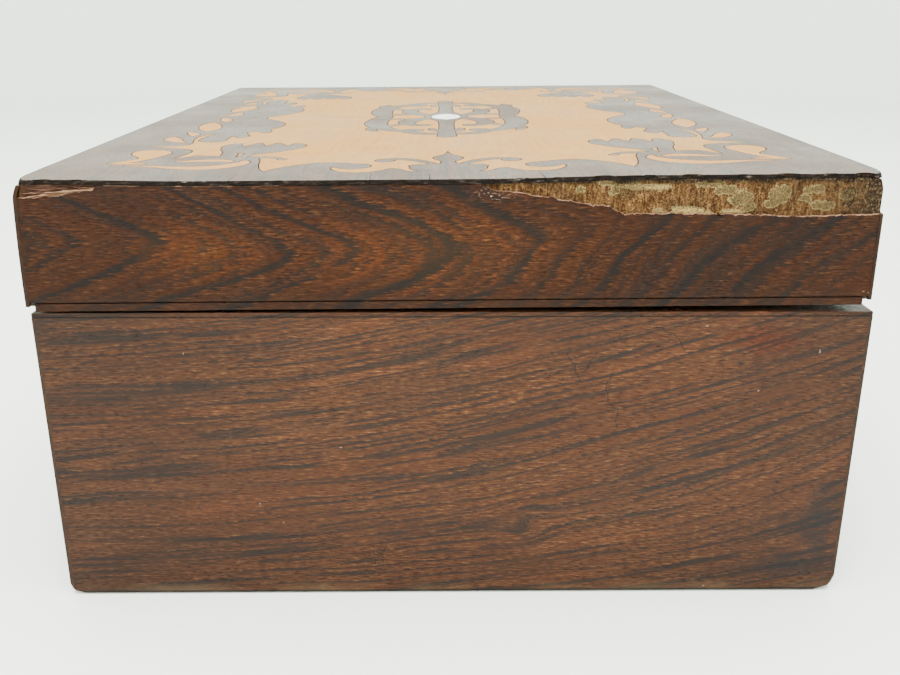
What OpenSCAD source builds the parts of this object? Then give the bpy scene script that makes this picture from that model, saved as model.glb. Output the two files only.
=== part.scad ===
// Inlaid wooden box: a veneered case and a hinged lid with a marquetry top.
// X runs along the hinge line, -Y is the front with the lock, +Z is up.
// The origin is the centre of the underside. The lid rests slightly ajar.

/* [Box] */
// Length along the hinge line
box_length = 300; // [270:1:340]
// Width from front to back
box_width = 228; // [210:1:260]
// Height of the case up to its rim
case_height = 88; // [84:1:110]
// Thickness of the walls without veneer
wall_board = 11; // [10:0.5:13]
// Thickness of the bottom board
bottom_board = 8; // [6:0.5:10]
// Thickness of the baize under the base
baize = 0.6; // [0.4:0.1:1]
// Thickness of the facing strips on the case rim
rim_facing = 1.2; // [1:0.1:1.6]
// Thickness of the cloth lining
lining = 0.8; // [0.5:0.1:1.2]

/* [Lid] */
// Height of the lid above its lip strips
lid_height = 34.2; // [32:0.2:42]
// Thickness of the lid's top board
top_board = 7; // [6:0.5:9]
// Height of the lip strips below the lid's walls
lip_drop = 1.4; // [1:0.1:1.6]
// Set-back of the lip strips on the long sides
lip_setback = 2.3; // [1.5:0.1:3]
// How far the lid sits towards the hinges
lid_shift = 1; // [0:0.1:1.2]
// Angle that the warped lid stands ajar when it is down
ajar = 0.377; // [0:0.01:0.6]

/* [Veneer] */
// Thickness of the wall veneers
veneer = 1; // [0.8:0.1:1.4]
// Thickness of the marquetry sheet
sheet = 1.3; // [1:0.1:1.6]
// Width of the saw kerf between marquetry pieces
kerf = 0.22; // [0.18:0.01:0.24]
// Scale of wear on the lower corners, 0 for none
wear = 1; // [0:0.1:1.5]

/* [Hinges] */
// Length of each hinge
hinge_length = 50; // [40:1:60]
// Distance of each hinge's middle from the box's middle
hinge_offset = 92; // [70:1:100]
// Outer radius of the hinge barrel
barrel_r = 2.6; // [2.4:0.1:3]
// Radius of the hinge pin
hinge_pin_r = 1; // [0.8:0.1:1.2]

/* [Lock] */
// Travel of the lock bolt
bolt_travel = 5; // [4:0.5:5]
// Half length of the lock plate
lock_half = 28; // [27:0.5:32]

/* [Hidden] */
$fn = 32;

// Colours
rosewood = [0.36, 0.17, 0.11];
pale_wood = [0.80, 0.62, 0.38];
carcass = [0.58, 0.42, 0.26];
brass = [0.78, 0.62, 0.30];
steel = [0.55, 0.55, 0.56];
cloth = [0.30, 0.10, 0.16];

// Case levels and half sizes
half_l = box_length / 2;
half_w = box_width / 2;
board_l = half_l - veneer;
board_w = half_w - veneer;
inner_l = board_l - wall_board;
inner_w = board_w - wall_board;
wall_top = case_height - rim_facing;
floor_top = baize + bottom_board;

// Hinge levels: the axis lies midway in the gap between the leaves
leaf_gap = 0.4;
leaf_t = 1.6;
barrel_gap = 0.4;
hinge_y = half_w + 1.4;
hinge_z = case_height + leaf_gap / 2;
leaf_start = barrel_r + barrel_gap;
leaf_end = 11.5;
knuckles = 5;
knuckle_length = hinge_length / knuckles;
knuckle_play = 0.15;
hinge_clearance = 0.05;

// Lid levels, measured from the underside of its walls
lid_base = case_height + leaf_gap + lip_drop;
sheet_bottom = lid_height - sheet;
rail_top = sheet_bottom - top_board;
bead_top = 0.75;
quirk = 0.35;

// Lock places
lock_y = -half_w + 7;
plate_t = 1.5;
selvedge_t = 1.6;
lock_back = -inner_w;
lock_bottom = case_height - 31;
key_z = case_height - 22.5;
staple_x = 11;
staple_t = 2;
staple_w = 6;
eye_w = 3.4;
bar_top = case_height - 12.5;
bar_h = 5;
bolt_t = 2;
bolt_post = 2;
stud_r = 1;
stud_play = 0.08;
stud_x = [-12, 8];

// A block given by its lowest and highest corner
module block(low, high) {
    translate(low) cube(high - low);
}

// Everything on the lid that is placed from the hinge axis
module lid_pose() {
    translate([0, hinge_y, hinge_z])
        rotate([-ajar, 0, 0])
            translate([0, -hinge_y, -hinge_z])
                children();
}

// Everything on the lid that is placed from the underside of its walls
module lid_frame() {
    lid_pose() translate([0, lid_shift, lid_base]) children();
}

// A countersunk slotted screw, head at the origin, pointing down
screw_r = 1.1;
screw_head_r = 2.2;
screw_head_h = 1.2;
module screw_body(length) {
    translate([0, 0, -screw_head_h]) cylinder(r1 = screw_r, r2 = screw_head_r, h = screw_head_h);
    translate([0, 0, -length + 1.5]) cylinder(r = screw_r, h = length - 1.5 - screw_head_h);
    translate([0, 0, -length]) cylinder(r1 = 0.2, r2 = screw_r, h = 1.5);
}

module screw(length, turn = 0) {
    difference() {
        screw_body(length);
        rotate([0, 0, turn]) block([-3, -0.25, -0.45], [3, 0.25, 1]);
    }
}

// ---------- worn lower corners of the case ----------

// [x side, y side, depth of the wear]
worn_corners = [[-1, 1, 1.0], [-1, -1, 1.5], [1, 1, 1.2], [1, -1, 1.6]];

module corner_wear() {
    for (corner = worn_corners, tilt = [18, 42, 66])
        translate([corner[0] * half_l, corner[1] * half_w, baize])
            rotate([0, 0, atan2(corner[1], corner[0])])
                rotate([0, tilt, 0])
                    translate([10 - corner[2] * wear * (1 + 0.45 * sin(2 * tilt - 6)) / 1.2, 0, 0])
                        cube(20, center = true);
}

// ---------- hinges ----------

module each_hinge() {
    for (side = [-1, 1]) translate([side * hinge_offset, hinge_y, hinge_z]) children();
}

// Room for the barrel in the wood on either side of the gap
module barrel_room() {
    each_hinge()
        rotate([0, 90, 0])
            cylinder(r = leaf_start, h = hinge_length + 0.6, center = true);
}

// A slab at leaf level, from one distance behind the axis to another.
// level is -1 for the case's leaf and 1 for the lid's.
module leaf_slab(level, near, far, length) {
    translate([0, -(near + far) / 2, level * (leaf_gap + leaf_t) / 2])
        cube([length, far - near, leaf_t], center = true);
}

// Room for a leaf and its knuckles in the wood
module leaf_room(level) {
    each_hinge() leaf_slab(level, 0, leaf_end, hinge_length);
}

module leaf_screws(level) {
    each_hinge()
        for (x = [-18, 0, 18])
            translate([x, -(leaf_start + leaf_end) / 2, level * leaf_gap / 2])
                rotate([level > 0 ? 180 : 0, 0, 0])
                    children();
}

module leaf(level, own) {
    difference() {
        union() {
            each_hinge() leaf_slab(level, leaf_start, leaf_end, hinge_length);
            each_hinge()
                for (k = own)
                    translate([(k - (knuckles - 1) / 2) * knuckle_length, 0, 0]) {
                        rotate([0, 90, 0])
                            cylinder(r = barrel_r, h = knuckle_length - 2 * knuckle_play, center = true);
                        leaf_slab(level, 0, leaf_start + 1, knuckle_length - 2 * knuckle_play);
                    }
        }
        each_hinge()
            rotate([0, 90, 0])
                cylinder(r = hinge_pin_r + (level > 0 ? hinge_clearance : 0),
                         h = hinge_length + 2, center = true);
        leaf_screws(level) screw_body(9);
    }
}

module hinge_case_leaves() {
    color(brass) leaf(-1, [0, 2, 4]);
}

module hinge_lid_leaves() {
    color(brass) lid_pose() leaf(1, [1, 3]);
}

module hinge_pins() {
    color(steel)
        each_hinge()
            rotate([0, 90, 0])
                cylinder(r = hinge_pin_r, h = hinge_length, center = true);
}

module hinge_case_screws() {
    color(brass) leaf_screws(-1) screw(9, 25);
}

module hinge_lid_screws() {
    color(brass) lid_pose() leaf_screws(1) screw(9, 70);
}

// ---------- lock ----------

// Keyhole along Y: a round eye over a slot
module keyhole_cut() {
    translate([0, 0, key_z]) rotate([90, 0, 0]) cylinder(r = 2.4, h = box_width);
    block([-1.1, -box_width, key_z - 6.5], [1.1, 0, key_z]);
}

module selvedge_room() {
    block([-lock_half, lock_back - 9.5, case_height - selvedge_t],
          [lock_half, lock_back, case_height + 1]);
}

module lock_room() {
    selvedge_room();
    block([-lock_half, lock_back - plate_t, lock_bottom], [lock_half, lock_back + 1, case_height]);
    block([-21.5, lock_back - 9.7, lock_bottom + 1], [21.5, lock_back, case_height]);
}

module lock_screw_places() {
    for (x = [-1, 1], z = [5, 22])
        translate([x * (lock_half - 3), lock_back, lock_bottom + z])
            rotate([-90, 0, 0])
                children();
}

module lock_pin_places() {
    for (x = stud_x)
        translate([x, lock_back, bar_top - bar_h / 2])
            rotate([90, 0, 0])
                children();
}

module lock_plate() {
    color(brass)
        difference() {
            union() {
                block([-lock_half, lock_back - plate_t, lock_bottom], [lock_half, lock_back, case_height]);
                block([-lock_half, lock_back - 9.5, case_height - selvedge_t],
                      [lock_half, lock_back, case_height]);
            }
            for (x = [-staple_x, staple_x])
                block([x - staple_t / 2 - 0.5, lock_y - staple_w / 2 - 0.6, case_height - 3],
                      [x + staple_t / 2 + 0.5, lock_y + staple_w / 2 + 0.6, case_height + 1]);
            lock_screw_places() screw_body(8);
            lock_pin_places() cylinder(r = stud_r, h = 3, center = true);
            translate([0, lock_back, key_z]) rotate([90, 0, 0]) cylinder(r = stud_r, h = 3, center = true);
        }
}

module lock_case() {
    wall = 1;
    color(brass)
        difference() {
            block([-21.5, lock_back - 9.5, lock_bottom + 1],
                  [21.5, lock_back - plate_t, case_height - selvedge_t]);
            block([-21.5 + wall, lock_back - 9.5 + wall, lock_bottom + 1 + wall],
                  [21.5 - wall, lock_back, case_height]);
            intersection() {
                keyhole_cut();
                block([-5, -half_w, 0], [5, lock_back - 5, case_height]);
            }
        }
}

// Two guide studs for the bolt and the pin that the key turns on
module lock_pins() {
    color(steel) {
        lock_pin_places() cylinder(r = stud_r, h = 6.8);
        translate([0, lock_back, key_z]) rotate([90, 0, 0]) cylinder(r = stud_r, h = 7.5);
    }
}

module lock_spring() {
    color(steel)
        translate([0, lock_y + 1, 0])
            rotate([90, 0, 0])
                linear_extrude(2)
                    polygon([[20.5, lock_bottom + 6], [20.5, lock_bottom + 11], [20, lock_bottom + 11],
                             [10.5, bar_top - bar_h - 0.3], [9.5, bar_top - bar_h - 0.9],
                             [10.6, bar_top - bar_h - 0.9], [19.9, lock_bottom + 10]]);
}

module lock_screws() {
    color(brass) lock_screw_places() screw(8, 40);
}

module lock_bolt() {
    left = -staple_x - staple_t / 2 - 0.5;
    right = staple_x - staple_t / 2 - 0.5;
    finger = bolt_travel + bolt_post;
    color(brass)
        difference() {
            union() {
                block([left - finger, lock_y - bolt_t / 2, bar_top - bar_h],
                      [right + 1.5, lock_y + bolt_t / 2, bar_top]);
                for (tip = [left, right]) {
                    block([tip - finger, lock_y - bolt_t / 2, bar_top - 1],
                          [tip - finger + bolt_post, lock_y + bolt_t / 2, case_height - 4.8]);
                    block([tip - finger, lock_y - bolt_t / 2, case_height - 7.3],
                          [tip, lock_y + bolt_t / 2, case_height - 4.8]);
                }
            }
            for (x = stud_x) {
                for (step = [0, -bolt_travel])
                    translate([x + step, 0, bar_top - bar_h / 2])
                        rotate([90, 0, 0])
                            cylinder(r = stud_r + stud_play, h = box_width);
                block([x - bolt_travel, -half_w, bar_top - bar_h / 2 - stud_r - stud_play],
                      [x, 0, bar_top - bar_h / 2 + stud_r + stud_play]);
            }
            block([-5, -half_w, bar_top - bar_h - 1], [0, 0, bar_top - bar_h + 1.4]);
        }
}

module link_screw_places() {
    for (x = [-19, 19])
        translate([x, lock_y, case_height + leaf_gap])
            rotate([180, 0, 0])
                children();
}

link_half = 23;
link_w = 6.6;
module link_room() {
    block([-link_half, lock_y - link_w / 2, case_height + leaf_gap],
          [link_half, lock_y + link_w / 2, case_height + leaf_gap + lip_drop]);
}

// Plate let into the lid, with two staples that the bolt's fingers enter
module link_plate() {
    staple_foot = case_height - 10.6;
    color(brass)
        lid_pose()
            difference() {
                union() {
                    link_room();
                    for (x = [-staple_x, staple_x])
                        block([x - staple_t / 2, lock_y - staple_w / 2, staple_foot],
                              [x + staple_t / 2, lock_y + staple_w / 2, case_height + leaf_gap + 0.5]);
                }
                for (x = [-staple_x, staple_x])
                    block([x - staple_t, lock_y - eye_w / 2, staple_foot + 1.3],
                          [x + staple_t, lock_y + eye_w / 2, staple_foot + 6.3]);
                link_screw_places() screw_body(9);
            }
}

module link_screws() {
    color(brass) lid_pose() link_screw_places() screw(9, 15);
}

// ---------- case ----------

module case_long_board(side) {
    low = side < 0 ? -board_w : inner_w;
    block([-board_l, low, baize], [board_l, low + wall_board, wall_top]);
}

module case_front_board() {
    color(carcass)
        difference() {
            case_long_board(-1);
            lock_room();
            keyhole_cut();
            lock_screw_places() screw_body(8);
            corner_wear();
        }
}

module case_back_board() {
    color(carcass)
        difference() {
            case_long_board(1);
            leaf_room(-1);
            barrel_room();
            leaf_screws(-1) screw_body(9);
            corner_wear();
        }
}

module case_end_board(side) {
    low = side < 0 ? -board_l : inner_l;
    block([low, -inner_w, baize], [low + wall_board, inner_w, wall_top]);
}

module case_left_board() {
    color(carcass) case_end_board(-1);
}

module case_right_board() {
    color(carcass) case_end_board(1);
}

module case_bottom_board() {
    color(carcass) block([-inner_l, -inner_w, baize], [inner_l, inner_w, floor_top]);
}

// Inlaid keyhole plate: a round head over a smaller foot
module escutcheon_blank() {
    translate([0, -board_w, key_z]) rotate([90, 0, 0]) cylinder(r = 5.6, h = veneer);
    translate([0, -board_w, key_z - 7]) rotate([90, 0, 0]) cylinder(r = 4, h = veneer);
    block([-3.2, -half_w, key_z - 7], [3.2, -board_w, key_z]);
}

module keyhole_escutcheon() {
    color(brass)
        difference() {
            escutcheon_blank();
            keyhole_cut();
        }
}

module case_front_veneer() {
    color(rosewood)
        difference() {
            block([-half_l, -half_w, baize], [half_l, -board_w, wall_top]);
            escutcheon_blank();
            corner_wear();
        }
}

module case_back_veneer() {
    color(rosewood)
        difference() {
            block([-half_l, board_w, baize], [half_l, half_w, wall_top]);
            barrel_room();
            corner_wear();
        }
}

module case_left_veneer() {
    color(rosewood)
        difference() {
            block([-half_l, -board_w, baize], [-board_l, board_w, wall_top]);
            corner_wear();
        }
}

module case_right_veneer() {
    color(rosewood)
        difference() {
            block([board_l, -board_w, baize], [half_l, board_w, wall_top]);
            corner_wear();
        }
}

// Mitred facing strip: the outline runs from corner to corner of the rim
module facing(outline) {
    translate([0, 0, wall_top]) linear_extrude(rim_facing) polygon(outline);
}

module rim_front() {
    color(rosewood)
        difference() {
            facing([[-half_l, -half_w], [half_l, -half_w], [inner_l, -inner_w], [-inner_l, -inner_w]]);
            selvedge_room();
        }
}

module rim_back() {
    color(rosewood)
        difference() {
            facing([[-half_l, half_w], [-inner_l, inner_w], [inner_l, inner_w], [half_l, half_w]]);
            leaf_room(-1);
            barrel_room();
        }
}

module rim_left() {
    color(rosewood)
        facing([[-half_l, -half_w], [-inner_l, -inner_w], [-inner_l, inner_w], [-half_l, half_w]]);
}

module rim_right() {
    color(rosewood)
        facing([[half_l, -half_w], [half_l, half_w], [inner_l, inner_w], [inner_l, -inner_w]]);
}

// A thin band round the inside of a rectangular hollow
module lining_band(low, high) {
    difference() {
        block([-inner_l, -inner_w, low], [inner_l, inner_w, high]);
        block([-inner_l + lining, -inner_w + lining, low - 1],
              [inner_l - lining, inner_w - lining, high + 1]);
    }
}

module wall_lining() {
    color(cloth)
        difference() {
            lining_band(floor_top + 1, case_height - 0.5);
            block([-lock_half, lock_back - 1, lock_bottom], [lock_half, lock_back + 2, case_height]);
        }
}

module floor_lining() {
    color(cloth) block([-inner_l, -inner_w, floor_top], [inner_l, inner_w, floor_top + 1]);
}

module base_baize() {
    color([0.16, 0.28, 0.18])
        block([-half_l + 3, -half_w + 3, 0], [half_l - 3, half_w - 3, baize]);
}

// ---------- lid carcass ----------

lip_end_x = inner_l;
lip_side_y = half_w - lip_setback;

module lip_end_blank(side) {
    low = side < 0 ? -half_l + 0.2 : lip_end_x;
    high = side < 0 ? -lip_end_x : half_l - 0.2;
    block([low, -lip_side_y, -lip_drop], [high, lip_side_y, bead_top]);
}

module lid_long_rail(side) {
    low = side < 0 ? -board_w : inner_w;
    difference() {
        block([-board_l, low, 0], [board_l, low + wall_board, rail_top]);
        lip_end_blank(-1);
        lip_end_blank(1);
    }
}

// Takes a solid in the lid's own frame and cuts it with one placed from the hinge axis
module in_lid_frame() {
    translate([0, -lid_shift, -lid_base]) children();
}

module lid_front_rail() {
    color(carcass)
        lid_frame()
            difference() {
                lid_long_rail(-1);
                in_lid_frame() link_screw_places() screw_body(9);
            }
}

module lid_back_rail() {
    color(carcass)
        lid_frame()
            difference() {
                lid_long_rail(1);
                in_lid_frame() leaf_room(1);
                in_lid_frame() barrel_room();
                in_lid_frame() leaf_screws(1) screw_body(9);
            }
}

module lid_left_rail() {
    color(carcass) lid_frame() block([-board_l, -inner_w, bead_top], [-inner_l, inner_w, rail_top]);
}

module lid_right_rail() {
    color(carcass) lid_frame() block([inner_l, -inner_w, bead_top], [board_l, inner_w, rail_top]);
}

module lid_top_board() {
    color(carcass) lid_frame() block([-board_l, -board_w, rail_top], [board_l, board_w, sheet_bottom]);
}

module lip_front() {
    color(rosewood)
        lid_frame()
            difference() {
                block([-lip_end_x, -lip_side_y, -lip_drop], [lip_end_x, -inner_w, 0]);
                in_lid_frame() link_room();
            }
}

module lip_back() {
    color(rosewood)
        lid_frame()
            difference() {
                block([-lip_end_x, inner_w, -lip_drop], [lip_end_x, lip_side_y, 0]);
                in_lid_frame() leaf_room(1);
                in_lid_frame() barrel_room();
            }
}

module lip_left() {
    color(rosewood) lid_frame() lip_end_blank(-1);
}

module lip_right() {
    color(rosewood) lid_frame() lip_end_blank(1);
}

module lid_wall_lining() {
    color(cloth) lid_frame() lining_band(-lip_drop + 0.4, rail_top - 1.5);
}

module lid_lining() {
    color(cloth)
        lid_frame()
            block([-inner_l, -inner_w, rail_top - 1.5], [inner_l, inner_w, rail_top]);
}

// ---------- lid veneers ----------

// Outline of the left end's veneer, [across from the front, up]: a strip is torn
// off along its top towards the front, and a chip is gone at the back corner
tear = [[0, 23.6], [21, 23.1], [34, 23.7], [54, 24.2], [68.6, 24.2], [69.2, 25.1], [71, 26.2],
        [75, 26.6], [79.5, 27.2], [86, 28.6], [92, 29.4], [94.6, 30], [101.8, 31], [104, 32.9]];
chip = [[205, 32.9], [206, 31.6], [211, 31.2], [214, 30.3], [222, 29.7], [226, 29.7]];
end_w = 2 * board_w;

module lid_left_veneer() {
    lower = bead_top + quirk;
    color(rosewood)
        lid_frame()
            translate([-half_l, -board_w, 0])
                rotate([90, 0, 90])
                    linear_extrude(veneer)
                        intersection() {
                            translate([0, lower]) square([end_w, sheet_bottom - lower]);
                            polygon(concat([[0, 0]], tear, chip, [[end_w, 0]]));
                        }
}

module lid_right_veneer() {
    color(rosewood)
        lid_frame()
            block([board_l, -board_w, bead_top + quirk], [half_l, board_w, sheet_bottom]);
}

// The front veneer has lost its upper left corner with the torn strip
module lid_front_veneer() {
    torn = [[0, 23.4], [5, 24.2], [8.5, 26.4], [12, 27.2], [13, 30.6], [16, 32.9]];
    color(rosewood)
        lid_frame()
            translate([-half_l, -board_w, 0])
                rotate([90, 0, 0])
                    linear_extrude(veneer)
                        intersection() {
                            square([box_length, sheet_bottom]);
                            polygon(concat([[0, 0]], torn, [[box_length, sheet_bottom], [box_length, 0]]));
                        }
}

module lid_back_veneer() {
    color(rosewood)
        lid_frame()
            difference() {
                block([-half_l, board_w, 0], [half_l, half_w, sheet_bottom]);
                in_lid_frame() barrel_room();
            }
}

// ---------- marquetry ----------
// Points are [from the end edge, from the centre line, width] for the corners and
// [from the middle, from the centre line, width] for the medallion.

function catmull(a, b, c, d, u) =
    0.5 * (2 * b + (c - a) * u + (2 * a - 5 * b + 4 * c - d) * u * u
           + (3 * b - a - 3 * c + d) * u * u * u);

function smooth(p, steps) = concat(
    [for (i = [0 : len(p) - 2], j = [0 : steps - 1])
        catmull(p[max(i - 1, 0)], p[i], p[i + 1], p[min(i + 2, len(p) - 1)], j / steps)],
    [p[len(p) - 1]]);

function flat(v) = [v[0], v[1]];

function side_point(p, i, side) =
    let (ahead = flat(p[min(i + 1, len(p) - 1)]),
         behind = flat(p[max(i - 1, 0)]),
         run = (ahead - behind) / norm(ahead - behind))
    flat(p[i]) + side * max(p[i][2], 0.3) / 2 * [-run[1], run[0]];

// A leaf or scroll: a line through the points whose width swells and tapers
module stroke(points, steps = 4) {
    p = smooth(points, steps);
    last = len(p) - 1;
    polygon(concat([for (i = [0 : last]) side_point(p, i, 1)],
                   [for (i = [last : -1 : 0]) side_point(p, i, -1)]));
}

module bud(at, r) {
    translate(at) circle(r = r, $fn = 24);
}

// Repeats a quarter of the design in all four corners
module four() {
    for (mx = [0, 1], my = [0, 1]) mirror([mx, 0]) mirror([0, my]) children();
}

module four_corners() {
    four() translate([-half_l, 0]) children();
}

// Joins runs of points into one outline: smooth along a run, cusped between runs
function runs_outline(runs, steps) = [for (run = runs) each [for (q = smooth(run, steps)) flat(q)]];

// One quarter of the pale field, without the dark leaves that cross it
module field_quarter() {
    runs = [
        [[27, 0], [26, 5], [22, 10], [17.5, 10.8], [13, 8.6]],
        [[14, 11.4], [17.6, 13.8], [18.8, 16]],
        [[15.4, 18.4], [12.4, 22], [11.7, 26], [13.6, 30], [18.6, 32.6], [21.6, 32]],
        [[19.6, 30.8], [17.6, 27.6], [20, 24], [27.4, 26]],
        [[29.4, 31.5], [29.6, 37], [25.6, 43], [19.4, 48.2], [14.6, 50.6]],
        [[19, 52.4], [25, 53.6], [32, 54.8], [40, 58], [44, 70], [45, 76]],
        [[37.6, 81], [45, 80.2], [52, 79.4], [57.4, 81.4], [60, 88], [62.4, 96.4]],
        [[64, 91], [65.6, 86], [71, 84], [80, 85.6], [90, 85.6], [99, 82]]
    ];
    polygon(concat(runs_outline(runs, 3), [[half_l, 80], [half_l, 0]]));
}

// Dark leaves and scrolls that cross the field
module dark_strokes() {
    // finial on the centre line and the scrolls beside it
    finial = [[10, 6, 0], [16, 4.2, 0], [24, 3, 0], [30, 2.1, 0], [33, 3.2, 0], [36.4, 4.5, 0],
              [40, 4, 0], [43.6, 1.7, 0], [46.6, 0.6, 0], [51, 0.02, 0]];
    for (side = [-1, 1])
        polygon(concat([for (q = smooth(finial, 3)) [q[0], side * q[1]]], [[51, 0], [10, 0]]));
    stroke([[22, 2.5, 2], [28, 5.5, 2.8], [33, 9.5, 3.2], [35.6, 14, 3.4], [34.4, 18, 3.8]]);
    bud([32.9, 18.4], 3);
    bud([22.2, 8.3], 3);
    stroke([[22, 8.3, 5.6], [17.5, 7.3, 3.4], [13, 5.4, 1.2]]);
    bud([22.8, 26.2], 4.6);
    // stem of the corner leaves and the leaf that leans to the middle
    stroke([[12, 59, 6], [20, 57, 5.4], [28, 56.4, 4.4], [36, 57.5, 4.6], [42, 60.5, 5]]);
    bud([37, 48.8], 1.5);
    stroke([[37.6, 49, 1.8], [40.6, 52.5, 3.2], [40.8, 58, 4], [39.6, 64, 4.6], [40, 72, 4]]);
    stroke([[40, 66, 5], [47, 66.4, 5.2], [53, 67.8, 4.4], [59.5, 71.4, 1.6]]);
    // lobed flower
    stroke([[41, 62.4, 3], [46, 60.6, 3.4], [52, 59.4, 6.4]]);
    stroke([[49, 59, 4], [56, 54.4, 8], [62.6, 50, 8.4], [68, 48.4, 5.4], [71.6, 49.6, 1.6]]);
    stroke([[50, 59.2, 5], [58, 57.6, 8], [66, 55.4, 6.4], [73, 55.6, 1.2]]);
    stroke([[50, 59.4, 5], [58, 60.6, 8], [66, 62, 6.6], [73.6, 61.4, 1.2]]);
    stroke([[49, 59.8, 4], [56, 64.4, 8], [62.6, 68.4, 8], [68.6, 69.2, 5], [72, 67.4, 1.6]]);
    // long side: a bar with a small leaf beside it, then two swelling leaves
    bud([79.5, 79.2], 4.8);
    stroke([[79, 79.2, 9.4], [88, 79.2, 9], [97, 77.6, 8], [104, 74.6, 9], [111, 71.6, 14],
            [119, 70.6, 18], [128, 71, 18.4], [137, 73, 14], [144, 75.4, 9], [150, 76.6, 7.6]], 3);
    stroke([[86.6, 71.6, 1.4], [91, 71.4, 5.6], [97, 73.6, 6.4], [104, 75, 5]]);
    stroke([[99.6, 64.6, 1.2], [104.6, 65.4, 5], [110, 68, 7]]);
    translate([half_l - 150, 0]) stroke([[96, 84, 12], [150, 84, 12]]);
}

// Pale scrolls and leaves let into the dark border
module light_strokes() {
    // crescent with its long tail, and the leaf that rises over it
    stroke([[35, 59.4, 1.6], [30.4, 59.2, 4.4], [25, 62.6, 6.2], [21.6, 69, 6.4], [21.6, 76, 4.8],
            [23.4, 84, 2.6], [24, 92, 1]]);
    stroke([[33, 62.4, 1.5], [35.2, 66.5, 4.6], [34.8, 72, 4.4], [32.6, 79.5, 1]]);
    // pear and the corner leaf that hangs from it
    stroke([[55, 91.6, 5], [51.4, 91.4, 11.4], [46, 90.8, 11.4], [40.5, 90, 6.4], [36, 90.3, 3.6],
            [31.4, 93, 4], [26.6, 97.4, 1.4]]);
    stroke([[25.6, 96, 1], [27.8, 91.6, 3], [28, 87, 1.4]]);
    // leaves climbing the long side
    stroke([[73.4, 86.8, 1.4], [76, 90.4, 4.4], [81.6, 93.6, 5.8], [87, 94.6, 1.2]]);
    stroke([[89.6, 88.6, 1.2], [95, 89.4, 4.4], [100.4, 92.6, 1.2]]);
    stroke([[103, 86.8, 1.4], [109.6, 87.4, 7.2], [117, 88.6, 8.6], [125, 90, 6], [131, 90.4, 1.2]]);
    stroke([[133.4, 86.6, 1.2], [139, 87.2, 4.8], [144, 88.6, 3.6], [147.6, 90.4, 1]]);
}

module pearl_outline() {
    intersection_for (side = [-1, 1]) translate([0, side * 6.6]) circle(r = 12.4, $fn = 48);
}

// Medallion: paired scrolls round the pearl. One quarter, then mirrored.
module medallion_quarter() {
    bud([0, 0], 8.6);
    stroke([[0, 0, 17], [9, 0, 12], [17, 0, 6.4], [32, 0, 5.4], [48, 0, 5.8], [62, 0, 6.6]]);
    bud([62, 0], 3.4);
    // outer scroll
    stroke([[0, 24.4, 6], [8, 26, 7.6], [20, 27, 8.6], [31, 25.8, 8], [40, 22.4, 6.4],
            [46, 17.4, 5], [47, 12.6, 4]]);
    bud([44.6, 12], 3.6);
    stroke([[37, 27.6, 3], [43, 27.4, 3.6], [48, 25, 1]]);
    // inner leaf and the link to the outer scroll
    stroke([[4, 6.5, 5], [10, 11.6, 6.4], [17, 14.8, 7], [25, 14.6, 5.4], [30.6, 11, 3.4]]);
    bud([29.4, 9], 2.8);
    stroke([[11, 12, 4], [8, 18, 3.6], [9, 25, 4]]);
    stroke([[23, 15.6, 3], [28, 18.6, 3.4], [31.6, 23.6, 4]]);
    // scrolls that spring from the foot of the stem
    stroke([[54, 1, 2.6], [55.4, 6.4, 4.6], [52.4, 11.6, 5], [46.6, 16, 3]]);
    stroke([[50, 1, 2.4], [44.8, 4.6, 3.6], [39.2, 5.6, 1]]);
}

module medallion_shape() {
    four() medallion_quarter();
}

module field_outline() {
    difference() {
        four_corners() field_quarter();
        four_corners() dark_strokes();
    }
}

module light_shape() {
    four_corners() light_strokes();
}

// Shrinkage cracks in the sheet: [along X, across Y, length, turn]
cracks = [[-half_l, 57, 12, -2], [-half_l, 20.5, 13, 1], [-half_l, 5, 11, 0], [-half_l, -25, 12, 3],
          [half_l, -38, 14, 179], [half_l, 31, 10, 181]];

module crack_cuts() {
    for (crack = cracks)
        translate([crack[0], crack[1]])
            rotate([0, 0, crack[3]])
                polygon([[-1, -0.09], [-1, 0.09], [crack[2] * 0.5, 0.22], [crack[2], 0.02],
                         [crack[2] * 0.5, 0.08]]);
}

// Small losses along the sheet's left edge: [across Y, radius, depth]
edge_chips = [[-19, 3, 0.9], [-28, 2.2, 0.6], [-40, 4, 1.2], [-52, 2.6, 0.8], [-63, 3.6, 1.4],
              [-76, 2.4, 0.7], [-88, 4, 1.5], [-99, 3, 1.1], [-108, 3.4, 1.6], [97, 2.6, 0.8],
              [106, 3.2, 1.2], [70, 2, 0.4], [44, 2.4, 0.5], [12, 2, 0.4]];

module sheet_outline() {
    difference() {
        square([box_length, box_width], center = true);
        for (chip_at = edge_chips)
            translate([-half_l - chip_at[1] + chip_at[2], chip_at[0]])
                circle(r = chip_at[1], $fn = 16);
        for (mx = [0, 1], my = [0, 1])
            mirror([mx, 0]) mirror([0, my])
                polygon([[half_l + 1, half_w + 1], [half_l - 1.2, half_w + 1],
                         [half_l - 1.2, half_w], [half_l - 0.35, half_w - 0.35],
                         [half_l, half_w - 1.2], [half_l + 1, half_w - 1.2]]);
    }
}

module sheet_solid() {
    lid_frame() translate([0, 0, sheet_bottom]) linear_extrude(sheet) children();
}

module top_ground() {
    color(rosewood)
        sheet_solid()
            difference() {
                offset(delta = -kerf)
                    difference() {
                        offset(delta = kerf) sheet_outline();
                        field_outline();
                        light_shape();
                    }
                crack_cuts();
            }
}

module top_field() {
    color(pale_wood)
        sheet_solid()
            difference() {
                field_outline();
                offset(delta = kerf) medallion_shape();
            }
}

module top_light_inlay() {
    color(pale_wood)
        sheet_solid()
            offset(delta = 0)
                light_shape();
}

module top_medallion() {
    color([0.27, 0.12, 0.09])
        sheet_solid()
            difference() {
                offset(delta = 0) medallion_shape();
                offset(delta = kerf) pearl_outline();
            }
}

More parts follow.
